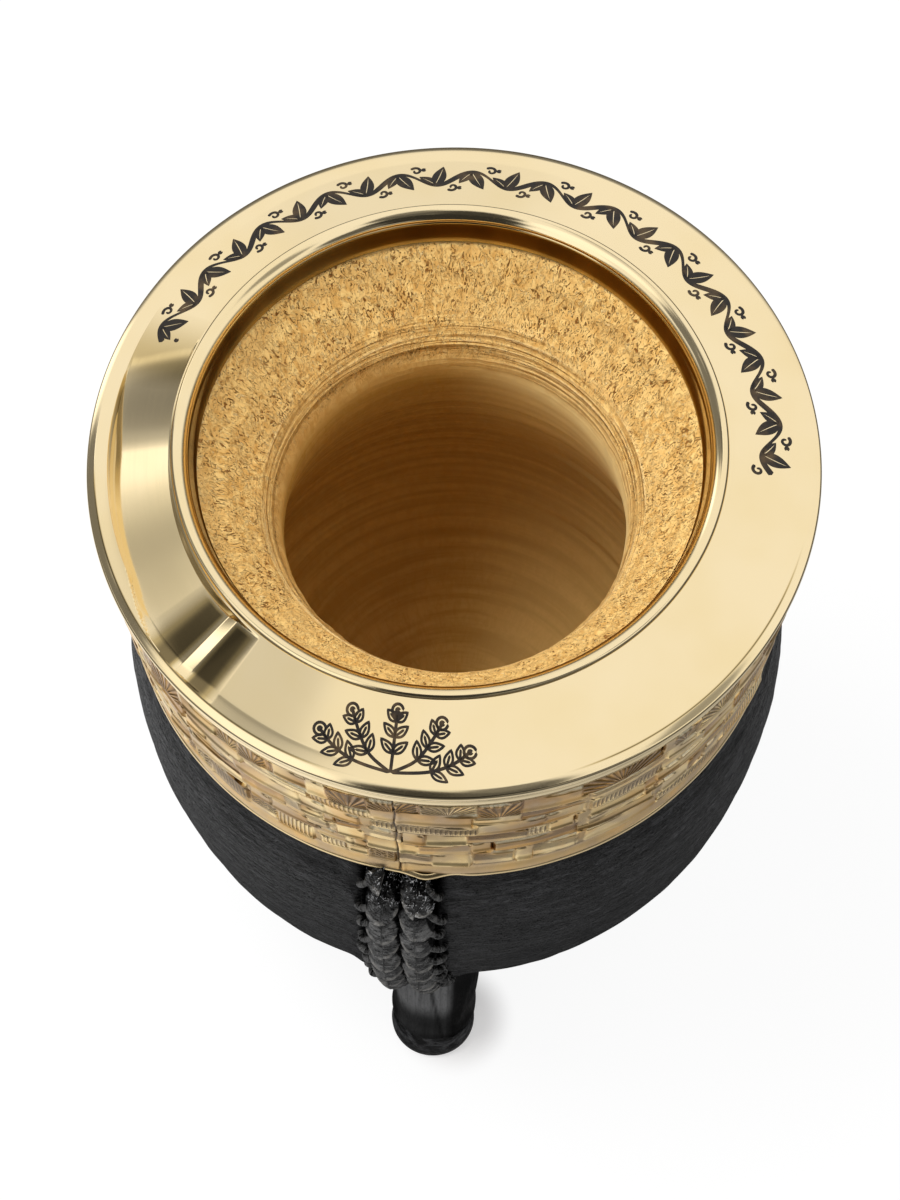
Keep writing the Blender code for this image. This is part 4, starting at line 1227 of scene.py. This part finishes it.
def make_leg(word, azimuth, hide):
    """A leg: a round section that flattens in front and widens upwards, carried up a leaning line into the body. It
    has two upright folds, a swollen foot that lies flat on the sole, and painted light on a strip in front, with a
    thin upright line of painted shade in it, and painted shade towards the foot."""
    ray = np.array([math.cos(azimuth), math.sin(azimuth), 0.0])
    side = np.array([-math.sin(azimuth), math.cos(azimuth), 0.0])
    up = np.array([0.0, 0.0, 1.0])
    lean = math.radians(LEG_LEAN)
    axis = math.cos(lean) * up - math.sin(lean) * ray
    front = math.cos(lean) * ray + math.sin(lean) * up
    heights = np.concatenate([[0.0, 0.15], np.linspace(0.5, LEG_LENGTH, 52), [LEG_LENGTH]])
    turn = every(96)[:, None]
    width = blend(6.1, 6.65, ramp(heights, 0.0, 12.0))
    flat = 1 - 0.13 * np.clip(np.cos(turn), 0, 1) ** 3
    folds = 0.20 * hump(turn - 0.03 * heights, 0.62, 0.10) + 0.14 * hump(turn + 0.02 * heights, 5.9, 0.08)
    crease = 0.09 * noise(turn * 8 / math.pi, heights / 2.2 + 3, 44, 16) + 0.30 * hump(heights, 1.4, 0.9)
    radius = width * flat + folds + crease
    radius[:, [0, -1]] = 0.0
    level = heights - (1 - heights / LEG_LENGTH) * radius * np.cos(turn) * math.tan(lean)
    spread = np.cos(turn)[..., None] * front + np.sin(turn)[..., None] * side
    points = FOOT_RADIUS * ray + SOLE_TOP * up + level[..., None] * axis + radius[..., None] * spread
    points[..., 2] = np.maximum(points[..., 2], SOLE_TOP + 0.02)
    # Painted light on the front of the leg, fading towards the foot, with a thin upright line of painted shade
    away = np.abs((turn + 0.25 + math.pi) % CIRCLE - math.pi)
    wear_and_painted_light = fall(away, 0.62, 0.86) * (0.12 + 0.88 * ramp(heights, 4.5, 8.5))
    wear_and_painted_light = wear_and_painted_light * (1 - 0.8 * hump(turn + 0.03 * heights, 0.35, 0.05))
    fields = {"grain": polar(14, turn, heights), "painted_lit_front": wear_and_painted_light}
    add_surface(f"sleeve_{word}_hide", points, TUBE, fields, hide, "black_leather", f"leg_sleeve_{word}")


def make_sole(word, azimuth, material):
    """The sole under a leg: a disc whose edge is a small half round."""
    profile = np.array([
        (0, SOLE_TOP), (5.2, SOLE_TOP), (6.0, 1.98), (6.2, 1.8), (SOLE_RADIUS, 1.3),
        (6.28, 0.6), (6.15, 0.2), (5.9, 0.0), (3, 0.0), (0, 0.0),
    ])
    disc = polar(profile[:, :1], every(96), profile[:, 1:])
    fields = {"grain": grain_field(disc, path_length(profile)[:, None], 7.0)}
    points = disc + SOLE_CENTRE * np.array([math.cos(azimuth), math.sin(azimuth), 0.0])
    add_surface(f"sole_{word}_leather", points, DISC, fields, material, "sole_leather", f"leg_sole_{word}")


def engrave_line(name, degrees, radius, width):
    """A thin filled line on the face: a flat section, half sunk, carried along a line given by angle and radius."""
    run = np.stack([np.gradient(np.radians(degrees)) * radius, np.gradient(radius)], axis=1)
    run /= np.maximum(np.linalg.norm(run, axis=1, keepdims=True), 1e-9)
    width = np.broadcast_to(width, len(degrees)).copy()
    width[0] = width[-1] = 0.02
    rows = []
    for across, lift in [(-1.0, -0.05), (-1.0, 0.015), (-0.6, 0.022), (0.6, 0.022), (1.0, 0.015), (1.0, -0.05)]:
        shift = across * width / 2
        spot = radius + run[:, 0] * shift
        turn = degrees - np.degrees(run[:, 1] * shift / radius)
        rows.append(around(spot, rim_level(turn % 360.0, spot) + lift, np.radians(turn)))
    points = np.stack(rows)
    middle = np.repeat(points.mean(axis=0, keepdims=True), len(rows), 0)
    return make_mesh(name, np.concatenate([middle[:, :1], points, middle[:, -1:]], axis=1), TUBE)


def leaf_axes(direction):
    """Unit vectors along a leaf and to its left, as (right, out)."""
    turn = np.array([math.cos(direction), math.sin(direction)])
    return turn, np.array([-turn[1], turn[0]])


def leaf_lines(start, direction, length, width):
    """Outline and midrib of a leaf, as lines of (right, out) points: two bows that meet at the tip."""
    along = np.linspace(0, 1, 16)[:, None]
    bow = np.sin(math.pi * along**0.8) * width / 2
    turn, side = leaf_axes(direction)
    one, two = (start + along * length * turn + way * bow * side for way in (1, -1))
    rib = start + np.linspace(0, 0.72, 8)[:, None] * length * turn
    return [np.vstack([one, two[::-1][1:]]), rib]


def leaf_halves(start, direction, length, width):
    """A filled leaf as two strokes beside a bare midrib: each is half a bow wide and as wide as the leaf there."""
    along = np.linspace(0, 1, 18)
    swell = np.sin(math.pi * along**0.75)
    turn, side = leaf_axes(direction)
    droop = 0.12 * length * along**2
    middle = start + along[:, None] * length * turn + droop[:, None] * side
    offset = (width / 4 + 0.04) * swell
    return [(middle + way * offset[:, None] * side, (width / 2 - 0.06) * swell + 0.04) for way in (-1, 1)]


def circle_line(centre, radius, count):
    """A closed circle of (right, out) points."""
    turn = np.append(every(count), CIRCLE)
    return centre + radius * np.stack([np.cos(turn), np.sin(turn)], axis=1)


def make_border(material):
    """A running vine on the back and right of the face: a sine wave that swells and thins like a pen stroke, with
    filled leaves and a curled tendril in each bend, and a berry outside it."""
    first, last = VINE_ENDS
    degrees = np.linspace(first, last, 900)
    phase = (first - degrees) / (first - last) * VINE_WAVES * CIRCLE
    meshes = [engrave_line("vine", degrees, VINE_RADIUS + 1.35 * np.sin(phase), 0.60 + 0.22 * np.cos(phase))]
    for k in range(2 * VINE_WAVES):
        here = first - (first - last) * (k + 0.5) / (2 * VINE_WAVES)
        way = 1 if k % 2 == 0 else -1
        stem = np.array([-0.25, VINE_RADIUS + way * 1.2])
        strokes = []
        for lean, length, width in ((0.42, 3.7, 1.85), (-0.75, 2.7, 1.4)):
            strokes += leaf_halves(stem, -way * math.pi / 2 + way * lean, length, width)
        curl = np.linspace(0, 1, 34)
        bow = 0.75 * (1 - 0.8 * curl)
        turn = way * (2.6 - 6.5 * curl)
        spiral = np.stack([2.15 + bow * np.cos(turn), VINE_RADIUS + way * 1.75 + bow * np.sin(turn)], axis=1)
        strokes.append((spiral, 0.30 + 0.16 * (1 - curl)))
        strokes.append((circle_line((-1.7, VINE_RADIUS - way * 1.9), 0.17, 14), 0.36))
        for line, width in strokes:
            meshes.append(engrave_line("leaf", here - np.degrees(line[:, 0] / VINE_RADIUS), line[:, 1], width))
    add_piece("border_engraved", join_meshes("border_engraved", meshes), material, "polished_brass")


def make_spray(material):
    """A small spray at the front of the face: five curved stems with paired leaves and round buds."""
    strokes = []
    foot = np.array([0.0, 44.9])
    tips = [(-9.3, 42.0, -1.6), (-6.0, 38.6, -1.0), (0.0, 37.5, 0.0), (6.0, 38.6, 1.0), (9.3, 42.0, 1.6)]
    for right, out, bend in tips:
        tip = np.array([right, out])
        low = blend(foot, tip, 0.35) + (0.7 * bend, 0.45)
        high = blend(foot, tip, 0.7) + (0.4 * bend, 0.3 * abs(bend))
        stem = smooth_line([foot, low, high, tip], 40)
        strokes.append((stem, 0.42))
        for share, size in ((0.36, 2.2), (0.58, 2.1), (0.80, 1.8)):
            k = int(share * 39)
            run = stem[k + 1] - stem[k]
            for lean in (-0.85, 0.85):
                leaf = leaf_lines(stem[k], math.atan2(run[1], run[0]) + lean, size, 1.0)
                strokes += [(line, 0.33) for line in leaf]
        strokes += [(circle_line(tip, radius, 18), 0.38) for radius in (0.75, 0.20)]
    meshes = [
        engrave_line("spray", SPRAY_ANGLE + np.degrees(line[:, 0] / SPRAY_RADIUS), line[:, 1], width)
        for line, width in strokes
    ]
    add_piece("spray_engraved", join_meshes("spray_engraved", meshes), material, "polished_brass")


def make_floor():
    """A wide pale floor, lifted to white for the camera and less for reflections. It keeps the shadow beside the foot,
    and is darker to reflections from afar and at the right."""
    reach = 4.0
    corners = [(-reach, -reach, 0), (reach, -reach, 0), (reach, reach, 0), (-reach, reach, 0)]
    mesh = bpy.data.meshes.new("floor")
    mesh.from_pydata(corners, [], [(0, 1, 2, 3)])
    floor = bpy.data.objects.new("floor", mesh)
    bpy.context.scene.collection.objects.link(floor)
    pale = Finish("floor_finish", Roughness=0.9, Specular_IOR_Level=0.0)
    place = pale.place()
    beside = pale.span(pale.vector_math("DISTANCE", place, (2.6, -39.0, 0.0)), 10.0, 4.6)
    far = pale.mix(pale.noise(place, 0.02, 2.0), FLOOR_DEEP, FLOOR_PALE)
    pale.paint("Base Color", pale.mix(beside, far, FLOOR_AT_FOOT))
    rays = pale.node("LightPath", {}).outputs
    seen = pale.times(rays["Is Camera Ray"], pale.span(beside, 0.0, 1.0, 0.915, 0.42, smooth=False))
    away = pale.vector_math("LENGTH", place)
    mirrored = pale.times(rays["Is Glossy Ray"], pale.span(away, 105.0, 240.0, 0.70, 0.04))
    mirrored = pale.times(mirrored, pale.span(away, 56.0, 78.0, 0.12, 1.0))
    mirrored = pale.times(mirrored, pale.span(pale.axis(place, "X"), -105.0, 90.0, 1.45, 0.62))
    glow = pale.node("Emission", {"Color": (1.0, 1.0, 1.0, 1.0), "Strength": pale.math("ADD", seen, mirrored)})
    both = pale.node("AddShader", {0: pale.shader.outputs[0], 1: glow.outputs[0]})
    pale.tree.links.new(both.outputs[0], pale.tree.nodes["Material Output"].inputs["Surface"])
    mesh.materials.append(pale.material)


def make_world():
    """Even white surroundings for the camera and for light; reflections also see the studio's cards and corners."""
    world = bpy.data.worlds.new("studio")
    bpy.context.scene.world = world
    world.use_nodes = True
    studio = Nodes(world.node_tree)
    direction = studio.node("TexCoord", {}).outputs["Generated"]
    low, high = (math.sin(math.radians(height)) for height in (3.0, 15.0))
    level = studio.span(studio.axis(direction, "Z"), low, high, 0.20, 1.0)
    for azimuth, height, inner, outer, value in STUDIO_CARDS:
        azimuth, height = math.radians(azimuth), math.radians(height)
        way = (math.cos(azimuth) * math.cos(height), math.sin(azimuth) * math.cos(height), math.sin(height))
        near = studio.vector_math("DOT_PRODUCT", direction, way)
        share = studio.span(near, math.cos(math.radians(outer)), math.cos(math.radians(inner)))
        level = studio.node("Mix", {0: share, 2: level, 3: value}).outputs[0]
    rays = studio.node("LightPath", {}).outputs
    light = studio.node("Mix", {0: rays["Is Glossy Ray"], 2: 0.50, 3: level}).outputs[0]
    shade = world.node_tree.nodes["Background"]
    shade.inputs["Color"].default_value = (1.0, 1.0, 1.0, 1.0)
    seen = studio.math("MAXIMUM", light, rays["Is Camera Ray"])
    studio.tree.links.new(seen, shade.inputs["Strength"])


def add_lamp(name, place, power, size):
    """An area lamp at a place in millimetres, aimed at the cup and left out of reflections."""
    data = bpy.data.lights.new(name, "AREA")
    data.energy = power
    data.size = size
    lamp = bpy.data.objects.new(name, data)
    bpy.context.scene.collection.objects.link(lamp)
    spot = Vector(place) * MM
    aim = Vector((0.0, 0.0, 0.08)) - spot
    lamp.matrix_world = Matrix.Translation(spot) @ aim.to_track_quat("-Z", "Y").to_matrix().to_4x4()
    lamp.visible_glossy = False


def make_camera():
    """The photograph's camera: pitch below the horizon, a small roll, and the turn of the part under it."""
    pitch = math.radians(CAMERA_PITCH)
    roll = math.radians(CAMERA_ROLL)
    right = Vector((1.0, 0.0, 0.0))
    ahead = Vector((0.0, math.cos(pitch), -math.sin(pitch)))
    up = Vector((0.0, math.sin(pitch), math.cos(pitch)))
    tilted_right = right * math.cos(roll) + up * math.sin(roll)
    tilted_up = up * math.cos(roll) - right * math.sin(roll)
    turn = Matrix.Rotation(math.radians(CAMERA_TURN), 3, "Z")
    axes = turn @ Matrix((tilted_right, tilted_up, -ahead)).transposed()
    data = bpy.data.cameras.new("photo_camera")
    data.sensor_fit = "VERTICAL"
    data.sensor_height = SENSOR_HEIGHT
    data.lens = FOCAL_LENGTH
    data.clip_start = 0.01
    camera = bpy.data.objects.new("photo_camera", data)
    bpy.context.scene.collection.objects.link(camera)
    camera.matrix_world = Matrix.Translation(Vector(CAMERA_PLACE) * MM) @ axes.to_4x4()
    bpy.context.scene.camera = camera


def finish_node(node, material):
    """Gives a CAD node that stays its material."""
    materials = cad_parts[node].data.materials
    materials.clear()
    materials.append(material)


def main():
    """Makes every piece, then the floor, the surroundings and the lamps."""
    bpy.context.scene.view_settings.view_transform = "Standard"
    make_camera()
    brass = polished_brass()
    make_rim_plate(brass)
    make_collar(brass)
    make_moulding(brass)
    make_band(chased_brass())
    make_hem(polished_brass("hem_brass_finish", HEM_BRASS, 0.2))
    hide = black_leather()
    strap = black_thong()
    make_cover(hide)
    for word, side in (("left", -1), ("right", 1)):
        make_roll(word, side, strap)
        make_welt(word, side, hide)
        make_stitches(word, side, strap)
    make_gourd(calabash())
    make_patch(hide)
    sole = black_leather("sole_finish", SOLE_BLACK, 0.5, 0.4)
    sleeve = worn_sleeve()
    wood = peg_wood()
    for k, word in enumerate(("front", "right", "left")):
        azimuth = math.radians(-90.6 + 120.0 * k)
        make_leg(word, azimuth, sleeve)
        make_sole(word, azimuth, sole)
        finish_node(f"leg_peg_{word}", wood)
    finish_node("ferrule_bedding", bedding_resin())
    ink = engraving()
    make_border(ink)
    make_spray(ink)
    make_floor()
    make_world()
    add_lamp("key", (-310, 60, 800), 5.2, 0.40)
    add_lamp("fill", (420, 160, 760), 1.3, 0.6)


main()
